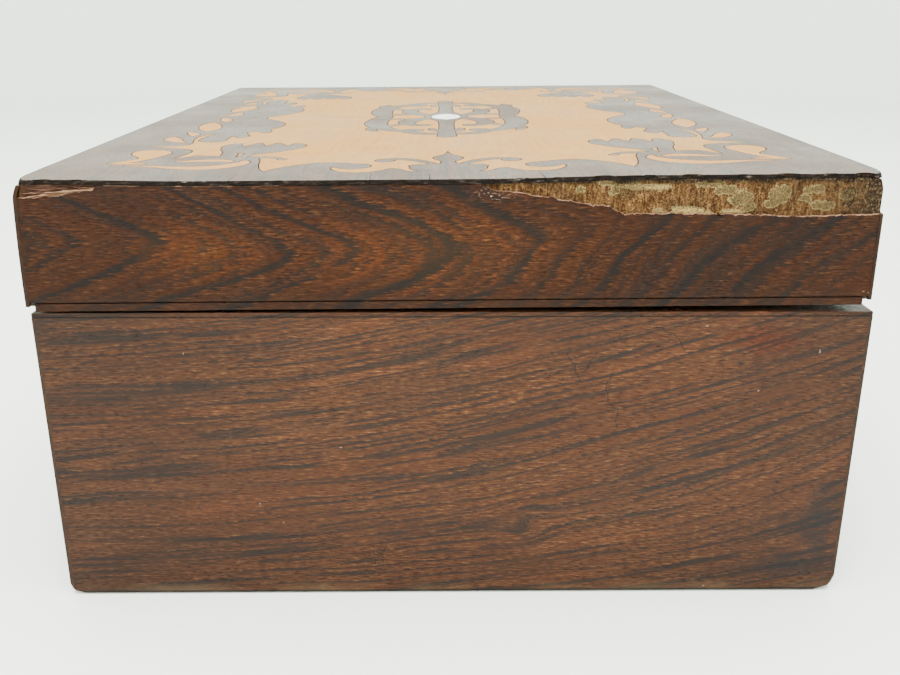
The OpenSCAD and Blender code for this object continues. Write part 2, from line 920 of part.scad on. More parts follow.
module top_pearl() {
    color([0.93, 0.95, 0.92]) sheet_solid() offset(delta = 0) pearl_outline();
}

case_front_board();
case_back_board();
case_left_board();
case_right_board();
case_bottom_board();
case_front_veneer();
case_back_veneer();
case_left_veneer();
case_right_veneer();
rim_front();
rim_back();
rim_left();
rim_right();
wall_lining();
floor_lining();
base_baize();
keyhole_escutcheon();
lock_plate();
lock_case();
lock_pins();
lock_spring();
lock_screws();
lock_bolt();
hinge_case_leaves();
hinge_pins();
hinge_case_screws();
lid_front_rail();
lid_back_rail();
lid_left_rail();
lid_right_rail();
lid_top_board();
lid_front_veneer();
lid_back_veneer();
lid_left_veneer();
lid_right_veneer();
lip_front();
lip_back();
lip_left();
lip_right();
top_ground();
top_field();
top_light_inlay();
top_medallion();
top_pearl();
lid_wall_lining();
lid_lining();
link_plate();
link_screws();
hinge_lid_leaves();
hinge_lid_screws();
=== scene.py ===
"""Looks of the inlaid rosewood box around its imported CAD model."""

import math

import bmesh
import bpy
import numpy as np
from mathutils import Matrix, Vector, noise as mnoise


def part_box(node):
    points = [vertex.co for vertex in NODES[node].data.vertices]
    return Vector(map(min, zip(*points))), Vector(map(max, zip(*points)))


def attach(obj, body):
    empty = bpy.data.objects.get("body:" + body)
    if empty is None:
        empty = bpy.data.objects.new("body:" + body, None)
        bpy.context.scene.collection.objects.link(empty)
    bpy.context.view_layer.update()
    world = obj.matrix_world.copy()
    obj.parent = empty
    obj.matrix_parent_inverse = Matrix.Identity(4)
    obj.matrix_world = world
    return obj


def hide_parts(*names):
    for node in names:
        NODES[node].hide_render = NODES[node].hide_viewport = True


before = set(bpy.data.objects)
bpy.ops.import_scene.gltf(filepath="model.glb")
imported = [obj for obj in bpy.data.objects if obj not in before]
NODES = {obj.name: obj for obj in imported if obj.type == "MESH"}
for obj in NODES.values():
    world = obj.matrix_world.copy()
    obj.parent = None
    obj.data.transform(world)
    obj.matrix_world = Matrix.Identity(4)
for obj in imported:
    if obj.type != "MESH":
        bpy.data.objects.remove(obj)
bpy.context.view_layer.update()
MM = 0.001

# Sizes in mm, in the row's frame. A level is a height above the underside of the lid's walls.
HALF_LENGTH, HALF_WIDTH = 150.0, 114.0
LID_TILT = math.radians(0.377)
LID_SLOPE = math.sin(LID_TILT)
HINGE_Y, HINGE_Z = 115.4, 88.2
LID_SHIFT = 1.0             # how far back the lid lies on the case
LID_BASE = 89.8
WARP_FROM = 29.5            # level where the lid's warp starts
SHEET_BOTTOM, SHEET_TOP = 32.9, 34.2
CUP_DEPTH = 0.65
CUP_RISE, CUP_FALL = (-50, -8), (66, 108)


# ---- camera, stage and light

def link(name, data):
    obj = bpy.data.objects.new(name, data)
    bpy.context.scene.collection.objects.link(obj)
    return obj


def make_camera():
    data = bpy.data.cameras.new("camera")
    data.lens = 38.5
    data.clip_start = 0.01
    data.clip_end = 20
    camera = link("camera", data)
    camera.location = (-0.3983, 0.0034, 0.1662)
    camera.rotation_euler = (math.radians(90 - 18.96), math.radians(-0.02), math.radians(-90.54))
    bpy.context.scene.camera = camera


def make_stage():
    """A round floor that sweeps up into a wall, alike from every side."""
    floor_r, sweep, wall = 1.5, 0.5, 1.5
    profile = [(0.0, 0.0), (floor_r, 0.0)]
    profile += [(floor_r + sweep * math.sin(a), sweep - sweep * math.cos(a))
                for a in (math.radians(d) for d in range(6, 91, 6))]
    profile.append((floor_r + sweep, wall))
    turns = 96
    bm = bmesh.new()
    rings = []
    for r, z in profile:
        if r == 0:
            rings.append([bm.verts.new((0, 0, z))])
        else:
            rings.append([bm.verts.new((r * math.cos(t), r * math.sin(t), z))
                          for t in (2 * math.pi * i / turns for i in range(turns))])
    for a, b in zip(rings, rings[1:]):
        for i in range(turns):
            j = (i + 1) % turns
            bm.faces.new([a[0], b[i], b[j]] if len(a) == 1 else [a[i], b[i], b[j], a[j]])
    mesh = bpy.data.meshes.new("stage")
    bm.to_mesh(mesh)
    bm.free()
    mesh.shade_smooth()
    stage = link("stage", mesh)
    s = Shader("pale_paper")
    s.finish((0.845, 0.895, 0.825), 0.75, specular=0.2)
    mesh.materials.append(s.material)


def area_light(name, place, target, size, power):
    data = bpy.data.lights.new(name, "AREA")
    data.shape = "RECTANGLE"
    data.size, data.size_y = size
    data.energy = power
    light = link(name, data)
    light.location = place
    light.rotation_mode = "QUATERNION"
    light.rotation_quaternion = (Vector(target) - Vector(place)).to_track_quat("-Z", "Y")


def make_lights():
    world = bpy.data.worlds.new("world")
    world.use_nodes = True
    surround = world.node_tree.nodes["Background"].inputs
    surround["Color"].default_value = (1, 1, 1, 1)
    surround["Strength"].default_value = 1.75
    bpy.context.scene.world = world
    area_light("overhead", (-0.35, 0.0, 1.45), (-0.1, 0, 0), (1.5, 1.7), 92)
    area_light("window", (-1.2, 0.55, 1.1), (-0.15, 0, 0.05), (0.8, 0.8), 14)


# ---- node materials

class Shader:
    """One node material. Inputs may be sockets, numbers or tuples. place is a vector in mm, and
    x, y and z are its parts."""

    def __init__(self, name):
        self.material = bpy.data.materials.new(name)
        self.material.use_nodes = True
        self.tree = self.material.node_tree
        self.tree.nodes.clear()
        metres = self.node("TexCoord").outputs["Object"]
        self.place = self.node("VectorMath", {0: metres, 1: (1000, 1000, 1000)},
                               operation="MULTIPLY").outputs[0]
        self.x, self.y, self.z = self.node("SeparateXYZ", {0: self.place}).outputs

    def node(self, kind, inputs=None, **settings):
        made = self.tree.nodes.new("ShaderNode" + kind)
        for key, value in settings.items():
            setattr(made, key, value)
        for key, value in (inputs or {}).items():
            self.feed(made.inputs[key], value)
        return made

    def feed(self, socket, value):
        if isinstance(value, bpy.types.NodeSocket):
            self.tree.links.new(value, socket)
        elif isinstance(value, tuple) and len(value) == 3 and len(socket.default_value) == 4:
            socket.default_value = (*value, 1)
        else:
            socket.default_value = value

    def math(self, operation, *values, clamp=False):
        made = self.node("Math", dict(enumerate(values)), operation=operation)
        made.use_clamp = clamp
        return made.outputs[0]

    def fold(self, operation, values):
        total = values[0]
        for value in values[1:]:
            total = self.math(operation, total, value)
        return total

    def add(self, *values):
        return self.fold("ADD", values)

    def mul(self, *values):
        return self.fold("MULTIPLY", values)

    def most(self, *values):
        return self.fold("MAXIMUM", values)

    def sub(self, a, b):
        return self.math("SUBTRACT", a, b)

    def madd(self, a, b, c):
        return self.math("MULTIPLY_ADD", a, b, c)

    def size(self, value):
        return self.math("ABSOLUTE", value)

    def length(self, a, b):
        return self.math("SQRT", self.madd(a, a, self.mul(b, b)))

    def weigh(self, *pairs):
        """Sum of (value, weight) pairs."""
        return self.add(*(self.mul(*pair) for pair in pairs))

    def sway(self, noise, width):
        """A noise brought about 0 and widened."""
        return self.mul(self.sub(noise, 0.5), width)

    def vec(self, x, y, z=0.0):
        return self.node("CombineXYZ", {0: x, 1: y, 2: z}).outputs[0]

    def noise(self, vector, scale=1.0, detail=2.0, rough=0.5, warp=0.0):
        made = self.node("TexNoise", {"Vector": vector, "Scale": scale, "Detail": detail,
                                      "Roughness": rough, "Distortion": warp})
        return made.outputs["Fac"]

    def grain(self, *axes, detail=2.0, rough=0.5, warp=0.0):
        """Stretched noise: each axis is a (place, frequency) pair, or a place as it is."""
        places = [self.mul(*axis) if isinstance(axis, tuple) else axis for axis in axes]
        return self.noise(self.vec(*places), 1.0, detail, rough, warp)

    def cells(self, vector, scale):
        return self.node("TexVoronoi", {"Vector": vector, "Scale": scale}).outputs["Distance"]

    def step(self, value, low, high, out_low=0.0, out_high=1.0):
        """Smooth step from out_low at low to out_high at high."""
        made = self.node("MapRange", {"Value": value, "From Min": low, "From Max": high,
                                      "To Min": out_low, "To Max": out_high},
                         interpolation_type="SMOOTHSTEP")
        return made.outputs[0]

    def fall(self, value, low, high):
        return self.step(value, low, high, 1.0, 0.0)

    def ramp(self, value, stops):
        made = self.node("ValToRGB", {"Fac": value})
        elements = made.color_ramp.elements
        while len(elements) < len(stops):
            elements.new(0.5)
        for element, (place, colour) in zip(elements, stops):
            element.position = place
            element.color = (*colour, 1)
        return made.outputs["Color"]

    def mix(self, share, a, b, blend="MIX"):
        made = self.node("Mix", data_type="RGBA", blend_type=blend)
        self.feed(made.inputs[0], share)
        self.feed(made.inputs[6], a)
        self.feed(made.inputs[7], b)
        return made.outputs[2]

    def tint(self, share, base, colour):
        return self.mix(share, base, colour, "MULTIPLY")

    def peaks(self, value, low, high, lines):
        """1 on each line (place, half width, strength) along value, and 0 between them."""
        reach = high - low
        stops = [(0.0, 0.0)]
        for place, half, strength in lines:
            at = (place - low) / reach
            edge = half / reach
            stops += [(at - edge, 0.0), (at - edge * 0.3, strength),
                      (at + edge * 0.3, strength), (at + edge, 0.0)]
        share = self.node("MapRange", {"Value": value, "From Min": low, "From Max": high}).outputs[0]
        return self.ramp(share, [(at, (grey,) * 3) for at, grey in stops])

    def blob(self, u, v, centre, radius, ragged=0.0, soft=0.5):
        """1 inside an ellipse and 0 outside; ragged is a noise about 0 that frays its edge."""
        away = self.length(self.mul(self.sub(u, centre[0]), 1 / radius[0]),
                           self.mul(self.sub(v, centre[1]), 1 / radius[1]))
        return self.fall(self.add(away, ragged), 1 - soft, 1.0)

    def hairline(self, u, v, points, half=0.16):
        """1 on a thin line through the points and 0 beside it."""
        lines = []
        for (u0, v0), (u1, v1) in zip(points, points[1:]):
            du, dv = u1 - u0, v1 - v0
            size = du * du + dv * dv
            pu, pv = self.sub(u, u0), self.sub(v, v0)
            t = self.math("MULTIPLY_ADD", pu, du / size, self.mul(pv, dv / size), clamp=True)
            lines.append(self.length(self.madd(t, -du, pu), self.madd(t, -dv, pv)))
        return self.fall(self.fold("MINIMUM", lines), half * 0.5, half * 1.5)

    def finish(self, base, rough, bump=None, **others):
        """Shades the surface; bump is (height, distance, strength)."""
        names = {"specular": "Specular IOR Level", "metallic": "Metallic", "sheen": "Sheen Weight",
                 "sheen_rough": "Sheen Roughness", "sheen_tint": "Sheen Tint"}
        inputs = {"Base Color": base, "Roughness": rough}
        inputs.update({names[key]: value for key, value in others.items()})
        if bump:
            parts = zip(("Height", "Distance", "Strength"), bump)
            inputs["Normal"] = self.node("Bump", dict(parts)).outputs[0]
        surface = self.node("BsdfPrincipled", inputs)
        out = self.node("OutputMaterial")
        self.tree.links.new(surface.outputs[0], out.inputs[0])
        return self.material


DARK = (0.0095, 0.0078, 0.0066)
SMOKE = (0.02, 0.0125, 0.008)
CRACK = (0.006, 0.005, 0.004)
FINE = {"detail": 3.0, "rough": 0.6}      # settings of a noise


def between(one, other):
    return tuple((a + b) / 2 for a, b in zip(one, other))


def rosewood(name, along, across, seed, figure=None, marks=None, tone=1.0, warm=1.0, shine=0.1):
    """Rosewood whose grain runs along one axis. figure lays out the growth rings and extra dark
    lines, and marks paints what has happened to the surface since."""
    def shade(red, green, blue, warmth=1.0):
        return red * tone, green * tone * warmth, blue * tone * warmth

    s = Shader("rosewood_" + name)
    axis = {"x": s.x, "y": s.mul(s.y, -1.0), "z": s.z}
    u, v = axis[along], axis[across]
    if across == "z":
        # the figure goes on into the thickness, so that the top faces of rims have it too
        depth = s.add(s.x, HALF_LENGTH) if along == "y" else s.add(s.y, HALF_WIDTH)
        v = s.madd(depth, 0.8, v)
    # short dashes of the pores, and longer bundles of fibres
    dash = s.grain((u, 0.4), (v, 2.4), seed, rough=0.6)
    fibre = s.grain((u, 0.1), (v, 1.3), seed + 9, rough=0.6)
    # growth rings, with thin dark lines and broad dark bands along them
    wander = s.grain((u, 0.014), (v, 0.03), seed + 4)
    ring, extra = figure(s, u, v, dash, fibre) if figure else (v, None)
    ring = s.add(ring, s.sway(wander, 5.0), s.sway(fibre, 1.1), s.sway(dash, 0.9))
    broad = s.grain((u, 0.012), (ring, 0.05), seed + 1, detail=3.0, rough=0.55)
    streak = s.grain((u, 0.006), (ring, 0.44), seed + 2, rough=0.6)
    line = s.fall(s.size(s.sub(streak, 0.5)), 0.0, 0.075)
    gate = s.step(s.grain((u, 0.036), (ring, 0.34), seed + 5), 0.36, 0.5)
    specks = s.grain((u, 0.36), (v, 0.95), seed + 20, detail=1.0)
    strewn = s.grain((u, 0.02), (v, 0.03), seed + 21, detail=1.0)
    speck = s.step(s.add(specks, s.sway(strewn, 0.35)), 0.66, 0.76)
    dark = s.most(s.mul(line, gate), s.mul(speck, 0.8))
    band = s.step(s.grain((u, 0.016), (ring, 0.1), seed + 7), 0.46, 0.7)
    lit = s.step(s.grain((u, 0.022), (ring, 0.16), seed + 12, detail=3.0), 0.5, 0.72)
    base = s.ramp(s.weigh((dash, 0.7), (fibre, 0.3)),
                  [(0.32, shade(0.03, 0.01, 0.0044)), (0.49, shade(0.062, 0.0215, 0.0084, warm)),
                   (0.59, shade(0.1, 0.038, 0.0145, warm)),
                   (0.72, shade(0.235, 0.105, 0.04, warm))])
    base = s.mix(s.step(broad, 0.36, 0.66, 0.0, 0.36), base, shade(0.046, 0.0135, 0.0055))
    base = s.tint(s.mul(lit, 0.55), base, (1.75, 1.62, 1.45))
    base = s.mix(s.mul(band, 0.2), base, SMOKE)
    base = s.mix(s.mul(dark, 0.86), base, DARK)
    if extra is not None:
        base = s.mix(s.mul(extra, 0.9), base, DARK)
    haze = s.grain((u, 0.03), (v, 0.03), seed + 6, **FINE)
    rough = s.add(s.step(haze, 0.3, 0.7, 0.27, 0.35), s.sway(dash, 0.25))
    if marks:
        base = marks(s, u, v, base, dash, fibre)
    if (along, across) == ("x", "z"):
        # end grain at the corners, stopped with polish and dirt
        base = s.mix(s.step(s.size(s.x), 149.2, 149.7, 0.0, 0.6), base,
                     (0.014, 0.009, 0.006))
    return s.finish(base, rough, (s.add(dash, s.mul(fibre, 0.3)), 0.00008, 0.6), specular=shine)


def fine_wood(name, pale, deep, shine, rough, seed):
    """Close-grained veneer with its grain along the lid, and a faint ripple across it."""
    s = Shader(name)
    u, v = s.x, s.y
    bent = s.add(v, s.sway(s.grain((u, 0.012), (v, 0.012), seed), 26.0))
    grain = s.grain((u, 0.035), (bent, 0.75), seed, **FINE)
    pores = s.grain((u, 0.33), (v, 2.6), seed + 5, rough=0.6)
    ripple = s.grain((u, 0.16), (v, 0.03), seed + 8)
    cloud = s.grain((u, 0.02), (v, 0.03), seed + 2, **FINE)
    spread = s.weigh((grain, 0.42), (pores, 0.26), (ripple, 0.16), (cloud, 0.16))
    base = s.ramp(spread, [(0.36, deep), (0.5, between(pale, deep)), (0.62, pale)])
    speck = s.step(s.grain((u, 0.7), (v, 0.9), seed + 3), 0.7, 0.78)
    base = s.mix(s.mul(speck, 0.4), base, tuple(c * 0.3 for c in deep))
    gloss = s.step(cloud, 0.3, 0.7, rough - 0.06, rough + 0.07)
    return s.finish(base, gloss, (spread, 0.00004, 0.5), specular=shine)


def shell(name):
    """Mother-of-pearl: flame-like patches that shift between cream, green and pink."""
    s = Shader(name)
    flame = s.grain((s.x, 0.1), (s.y, 0.22), 3.0, **FINE, warp=1.6)
    hue = s.grain((s.x, 0.05), (s.y, 0.08), 7.0, **FINE, warp=1.0)
    base = s.ramp(flame, [(0.34, (0.42, 0.45, 0.42)), (0.48, (0.66, 0.68, 0.62)),
                          (0.58, (0.8, 0.78, 0.72)), (0.7, (0.9, 0.88, 0.84))])
    base = s.mix(s.step(hue, 0.42, 0.56, 0.0, 0.3), base, (0.7, 0.52, 0.52))
    base = s.mix(s.step(hue, 0.44, 0.36, 0.0, 0.3), base, (0.45, 0.66, 0.6))
    return s.finish(base, s.step(flame, 0.3, 0.7, 0.26, 0.14), (flame, 0.0002, 0.4), specular=0.5)


def dirt_and_highlight_edge(name):
    """The sheet's outer edge: black with old dirt and polish, and grey flecks along its top arris
    that are partly wear and partly painted highlight.
    """
    s = Shader(name)
    u = s.mul(s.y, -1.0)
    level = lid_height(s, u, s.z)
    rub = s.grain((u, 0.45), (level, 1.6), (s.x, 0.45), detail=3.0, rough=0.65)
    far = s.grain((u, 0.05), (s.x, 0.05), 4.0)
    # old dirt and polish, from black to dark grey; the grey specks are partly painted highlight
    base = s.ramp(rub, [(0.34, (0.003, 0.0024, 0.002)), (0.54, (0.008, 0.0055, 0.0042)),
                        (0.64, (0.02, 0.014, 0.0105)), (0.76, (0.07, 0.057, 0.047))])
    # cup() as nodes, near enough for the photographed end
    sunk = s.mul(s.step(s.y, *CUP_RISE), s.fall(s.y, *CUP_FALL), CUP_DEPTH)
    # painted highlight with wear: grey flecks near the top arris
    high = s.mul(s.step(s.add(level, sunk), SHEET_TOP - 0.7, SHEET_TOP - 0.3),
                 s.step(s.add(rub, s.mul(far, 0.5)), 0.84, 0.96))
    base = s.mix(s.mul(high, 0.6), base, (0.14, 0.12, 0.1))
    return s.finish(base, s.step(rub, 0.4, 0.7, 0.5, 0.75), (rub, 0.0002, 0.8), specular=0.03)


def old_glue_line(name):
    """The seam round each inlay, and the sides of the pieces that it joins."""
    s = Shader(name)
    grit = s.noise(s.place, 1.4)
    base = s.ramp(grit, [(0.35, (0.004, 0.003, 0.0025)), (0.65, (0.02, 0.011, 0.006))])
    return s.finish(base, 0.8, (grit, 0.0001, 0.5), specular=0.04)


def deal_wood(name):
    """Plain softwood: growth lines along the board, and dirt on its ends."""
    s = Shader(name)
    wave = s.grain((s.x, 0.006), (s.y, 0.02), (s.z, 0.02))
    lines = s.grain((s.x, 0.01), (s.y, 0.75), s.madd(wave, 9.0, s.mul(s.z, 0.75)),
                    **FINE)
    fur = s.grain((s.x, 0.4), (s.y, 3.0), (s.z, 3.0))
    spread = s.weigh((lines, 0.7), (fur, 0.3))
    base = s.ramp(spread, [(0.36, (0.085, 0.04, 0.016)), (0.5, (0.19, 0.105, 0.047)),
                           (0.62, (0.3, 0.185, 0.09))])
    base = s.mix(s.step(s.size(s.x), 148.7, 148.95, 0.0, 0.92), base, SMOKE)
    return s.finish(base, 0.75, (spread, 0.00015, 0.6), specular=0.2)


def split_wood(name):
    """Fresh splintered veneer, pale and fibrous along the grain."""
    s = Shader(name)
    fibre = s.grain((s.y, 0.25), (s.z, 2.6), s.x, **FINE)
    base = s.ramp(fibre, [(0.36, (0.065, 0.028, 0.013)), (0.5, (0.15, 0.08, 0.045)),
                          (0.64, (0.25, 0.15, 0.09))])
    return s.finish(base, 0.8, (fibre, 0.0002, 0.8), specular=0.15)


def cloth(name, deep, lit, weave, nap):
    """Napped cloth: brushed patches, a fine pile and a soft sheen."""
    s = Shader(name)
    pile = s.noise(s.place, 3.2, rough=0.7)
    threads = s.grain((s.x, weave), (s.y, weave), (s.z, weave), rough=0.7)
    brushed = s.noise(s.place, 0.035, 4.0, 0.6, 0.8)
    spread = s.weigh((pile, 0.45), (threads, 0.3), (brushed, 0.25))
    base = s.ramp(spread, [(0.38, deep), (0.5, between(deep, lit)), (0.62, lit)])
    fur = s.weigh((pile, 0.6), (threads, 0.4))
    return s.finish(base, 0.92, (fur, 0.0004, 0.7), specular=0.1, sheen=0.25, sheen_rough=0.35,
                    sheen_tint=(*nap, 1))


def metal(name, clean, dull, rough):
    """Old metal: bright where it is handled, dull and spotted elsewhere."""
    s = Shader(name)
    stain = s.noise(s.place, 0.16, 4.0, 0.62)
    fine = s.noise(s.place, 1.7, 3.0, 0.6)
    brush = s.grain((s.x, 0.3), (s.y, 4.0), (s.z, 4.0))
    spread = s.weigh((stain, 0.55), (fine, 0.3), (brush, 0.15))
    base = s.ramp(spread, [(0.38, dull), (0.48, between(clean, dull)), (0.58, clean)])
    spot = s.fall(s.cells(s.place, 0.45), 0.1, 0.2)
    base = s.mix(s.mul(spot, 0.7), base, tuple(c * 0.25 for c in dull))
    gloss = s.add(s.step(spread, 0.4, 0.6, rough + 0.2, rough), s.mul(spot, 0.2))
    return s.finish(base, gloss, (s.add(brush, fine), 0.00004, 0.6), metallic=1.0)


def bared_wood(name, glued):
    """Wood bared by torn veneer: with brown fibres, dirt, crusts of old glue and a painted shadow
    under the sheet where glued, and streaks of old veneer where not."""
    s = Shader(name)
    u, v = s.mul(s.y, -1.0), s.z
    fibre = s.grain((u, 1.3), (v, 0.42), (s.x, 0.5), detail=3.0, rough=0.65)
    grit = s.grain((u, 2.2), (v, 2.0), 4.0, detail=3.0, rough=0.65)
    spread = s.weigh((fibre, 0.5), (grit, 0.5))
    if glued:
        base = s.ramp(spread, [(0.38, (0.012, 0.0045, 0.0014)), (0.47, (0.043, 0.018, 0.0055)),
                               (0.54, (0.09, 0.044, 0.015)), (0.63, (0.19, 0.105, 0.04))])
        # crusts of glue, thickest in the middle and pale at their rims
        glue = s.node("Attribute", attribute_name="old_glue").outputs["Fac"]
        rim = s.mul(s.step(glue, 0.05, 0.4), s.fall(glue, 0.6, 0.98))
        crust = s.ramp(grit, [(0.38, (0.045, 0.029, 0.01)), (0.5, (0.085, 0.06, 0.023)),
                              (0.62, (0.14, 0.104, 0.044))])
        base = s.mix(s.step(glue, 0.2, 0.7, 0.0, 0.75), base, crust)
        base = s.mix(s.mul(rim, s.step(grit, 0.36, 0.56), 0.75), base, (0.23, 0.175, 0.072))
        base = s.mix(s.mul(s.step(glue, 1.02, 1.3), s.step(grit, 0.3, 0.6), 0.85), base,
                     (0.3, 0.205, 0.07))
        # dirt in patches and towards the front corner, and under the sheet partly dirt and partly
        # painted shadow
        front = s.step(u, 78.0, 113.0)
        dirt = s.mul(front, s.step(s.add(grit, s.mul(front, 0.05)), 0.44, 0.6), 0.85)
        corner = s.step(s.add(u, s.mul(grit, 3.0)), 107.5, 112.5, 0.0, 0.8)
        patch = s.step(s.grain((u, 0.12), (v, 0.2), 9.0, **FINE), 0.46, 0.62)
        # painted shadow with dirt, just under the sheet
        top = s.step(lid_height(s, u, v), SHEET_BOTTOM - 1.6, SHEET_BOTTOM - 0.1)
        crumbs = s.grain((u, 1.6), (v, 1.1), 13.0, detail=3.0, rough=0.7)
        grime_and_shade = s.ramp(crumbs, [(0.4, (0.005, 0.0035, 0.0025)), (0.52, (0.019, 0.011, 0.006)),
                                (0.64, (0.085, 0.06, 0.03))])
        dirt_and_shadow_share = s.add(s.mul(patch, 0.4), dirt, corner, s.mul(top, 0.7))
        base = s.mix(s.math("MINIMUM", dirt_and_shadow_share, 0.94), base, grime_and_shade)
    else:
        streaks = s.grain((u, 0.25), (v, 2.4), 6.0, rough=0.6)
        base = s.ramp(streaks, [(0.36, (0.01, 0.005, 0.003)), (0.52, (0.04, 0.017, 0.011)),
                                (0.7, (0.11, 0.055, 0.035))])
    return s.finish(base, 0.85, (spread, 0.0003, 0.9), specular=0.08)


# ---- shapes

def lid_level(y, z):
    """Level on the lid, which lies slightly tilted, of a place in the row's frame."""
    return z - LID_BASE - LID_SLOPE * (HINGE_Y - y)


def from_lid(y, level):
    """Row-frame height of a level on the lid."""
    return level + LID_BASE + LID_SLOPE * (HINGE_Y - y)


def lid_place(y, level):
    """Row-frame (y, z) of a point given by its place in the lid's own frame."""
    dy, dz = y + LID_SHIFT - HINGE_Y, LID_BASE + level - HINGE_Z
    return (HINGE_Y + dy * math.cos(LID_TILT) + dz * LID_SLOPE,
            HINGE_Z - dy * LID_SLOPE + dz * math.cos(LID_TILT))


def smooth(value, low, high):
    t = min(1.0, max(0.0, (value - low) / (high - low)))
    return t * t * (3 - 2 * t)


def fbm(x, y, z=0.0):
    return mnoise.fractal(Vector((x, y, z)), 1.0, 2.0, 3)


def cup(x, y):
    """How far the sheet has sunk: most left of the middle of the photographed end."""
    across = smooth(y, *CUP_RISE) * (1 - smooth(y, *CUP_FALL))
    return CUP_DEPTH * across * (1 - 0.85 * smooth(x, -10, HALF_LENGTH))


def sheet_normal(x, y):
    """Normal of the cupped sheet."""
    dx = (cup(x - 1, y) - cup(x + 1, y)) / 2
    dy = (cup(x, y - 1) - cup(x, y + 1)) / 2 - LID_SLOPE
    return Vector((-dx, -dy, 1)).normalized()


def warped(x, y, z):
    """A place after the lid's wear: its top has sunk, the back wall leans in, and the two
    corners of the photographed end are rubbed down."""
    level = lid_level(y, z)
    share = min(1.0, max(0.0, (level - WARP_FROM) / (SHEET_BOTTOM - WARP_FROM)))
    rubbed = (smooth(-x, 144, HALF_LENGTH) * smooth(abs(y - LID_SHIFT), 109, 113)
              * smooth(level, WARP_FROM, SHEET_TOP))
    z -= cup(x, y) * share + 0.15 * rubbed
    y -= math.copysign(1.2, y) * rubbed
    y -= 1.25 * max(0.0, level / SHEET_TOP) ** 2 * smooth(y, 60, 113)
    return x, y, z


def new_piece(name, bm, body, materials, sharp=30, cupped=False):
    mesh = bpy.data.meshes.new(name)
    bm.to_mesh(mesh)
    bm.free()
    for material in materials:
        mesh.materials.append(material)
    mesh.shade_smooth()
    mesh.set_sharp_from_angle(angle=math.radians(sharp))
    if cupped:
        normals = [corner.vector.copy() for corner in mesh.corner_normals]
        for polygon in mesh.polygons:
            if polygon.normal.z > 0.9 and polygon.material_index == 0:
                for corner, index in zip(polygon.loop_indices, polygon.vertices):
                    x, y, _ = mesh.vertices[index].co * 1000
                    normals[corner] = sheet_normal(x, y)
        mesh.normals_split_custom_set(normals)
    piece = link(name, mesh)
    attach(piece, body)
    return piece


def cad_mesh(node):
    """A CAD node's mesh in mm, with its split corners joined again."""
    bm = bmesh.new()
    bm.from_mesh(NODES[node].data)
    bmesh.ops.scale(bm, vec=(1000, 1000, 1000), verts=bm.verts)
    bmesh.ops.remove_doubles(bm, verts=bm.verts, dist=0.002)
    return bm


def slice_at(bm, axis, places, faces=None):
    normal = Vector([1.0 if i == axis else 0.0 for i in range(3)])
    for place in places:
        chosen = [f for f in (bm.faces if faces is None else faces()) if f.is_valid]
        edges = {e for f in chosen for e in f.edges}
        verts = {v for f in chosen for v in f.verts}
        bmesh.ops.bisect_plane(bm, geom=[*verts, *edges, *chosen], dist=0.001,
                               plane_co=normal * place, plane_no=normal)


def to_metres(bm):
    """Warps a lid piece made in mm, and brings it to metres."""
    for v in bm.verts:
        v.co = Vector(warped(*v.co)) * MM


def lid_copy(node, slot, materials, x_step=0, y_step=0, levels=(), shape=None, cupped=False,
             outlined=False):
    """A lid part again, sliced finely enough to follow the lid's warp. A second material goes on
    its sides, and outlined adds a thin rim of it round the top."""
    low, high = (corner * 1000 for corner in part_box(node))
    bm = cad_mesh(node)
    for axis, step in ((1, y_step), (0, x_step)):
        if step:
            slice_at(bm, axis, np.arange(math.ceil(low[axis] / step), high[axis] / step) * step)
    tilt = Vector((0, LID_SLOPE, 1)).normalized()
    for level in levels:
        bmesh.ops.bisect_plane(bm, geom=bm.verts[:] + bm.edges[:] + bm.faces[:], dist=0.001,
                               plane_co=(0, 0, from_lid(0, level)), plane_no=tilt)
    if len(materials) > 1:
        for face in bm.faces:
            face.material_index = 1 if abs(face.normal.z) < 0.5 else 0
    if shape:
        shape(bm)
    if outlined:
        tops = [f for f in bm.faces if f.normal.z > 0.9]
        rim = bmesh.ops.inset_region(bm, faces=tops, thickness=0.12, use_boundary=True)
        for face in rim["faces"]:
            face.material_index = 1
    to_metres(bm)
    piece = new_piece("warped_" + node, bm, "lid", materials, cupped=cupped)
    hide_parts(node)


def paint(material, *names):
    for name in names:
        slots = NODES[name].data.materials
        slots.clear()
        slots.append(material)


KNOT = (20.8, 22.8)


def case_end_figure(s, u, v, dash, fibre):
    """Rings that rise towards the front and part around a small knot."""
    t = s.add(u, HALF_WIDTH)
    rise = s.mul(s.madd(t, 0.0008, 0.05), t, s.step(v, 5.0, 62.0, 0.45, 0.85))
    du, dv = s.sub(u, KNOT[0]), s.sub(v, KNOT[1])
    reach = s.add(s.mul(du, du, 1 / 42), s.mul(dv, dv, 1 / 36))
    near = s.math("POWER", 2.718, s.mul(reach, -1.0))
    return s.sub(s.sub(v, rise), s.mul(dv, near, 0.8)), None


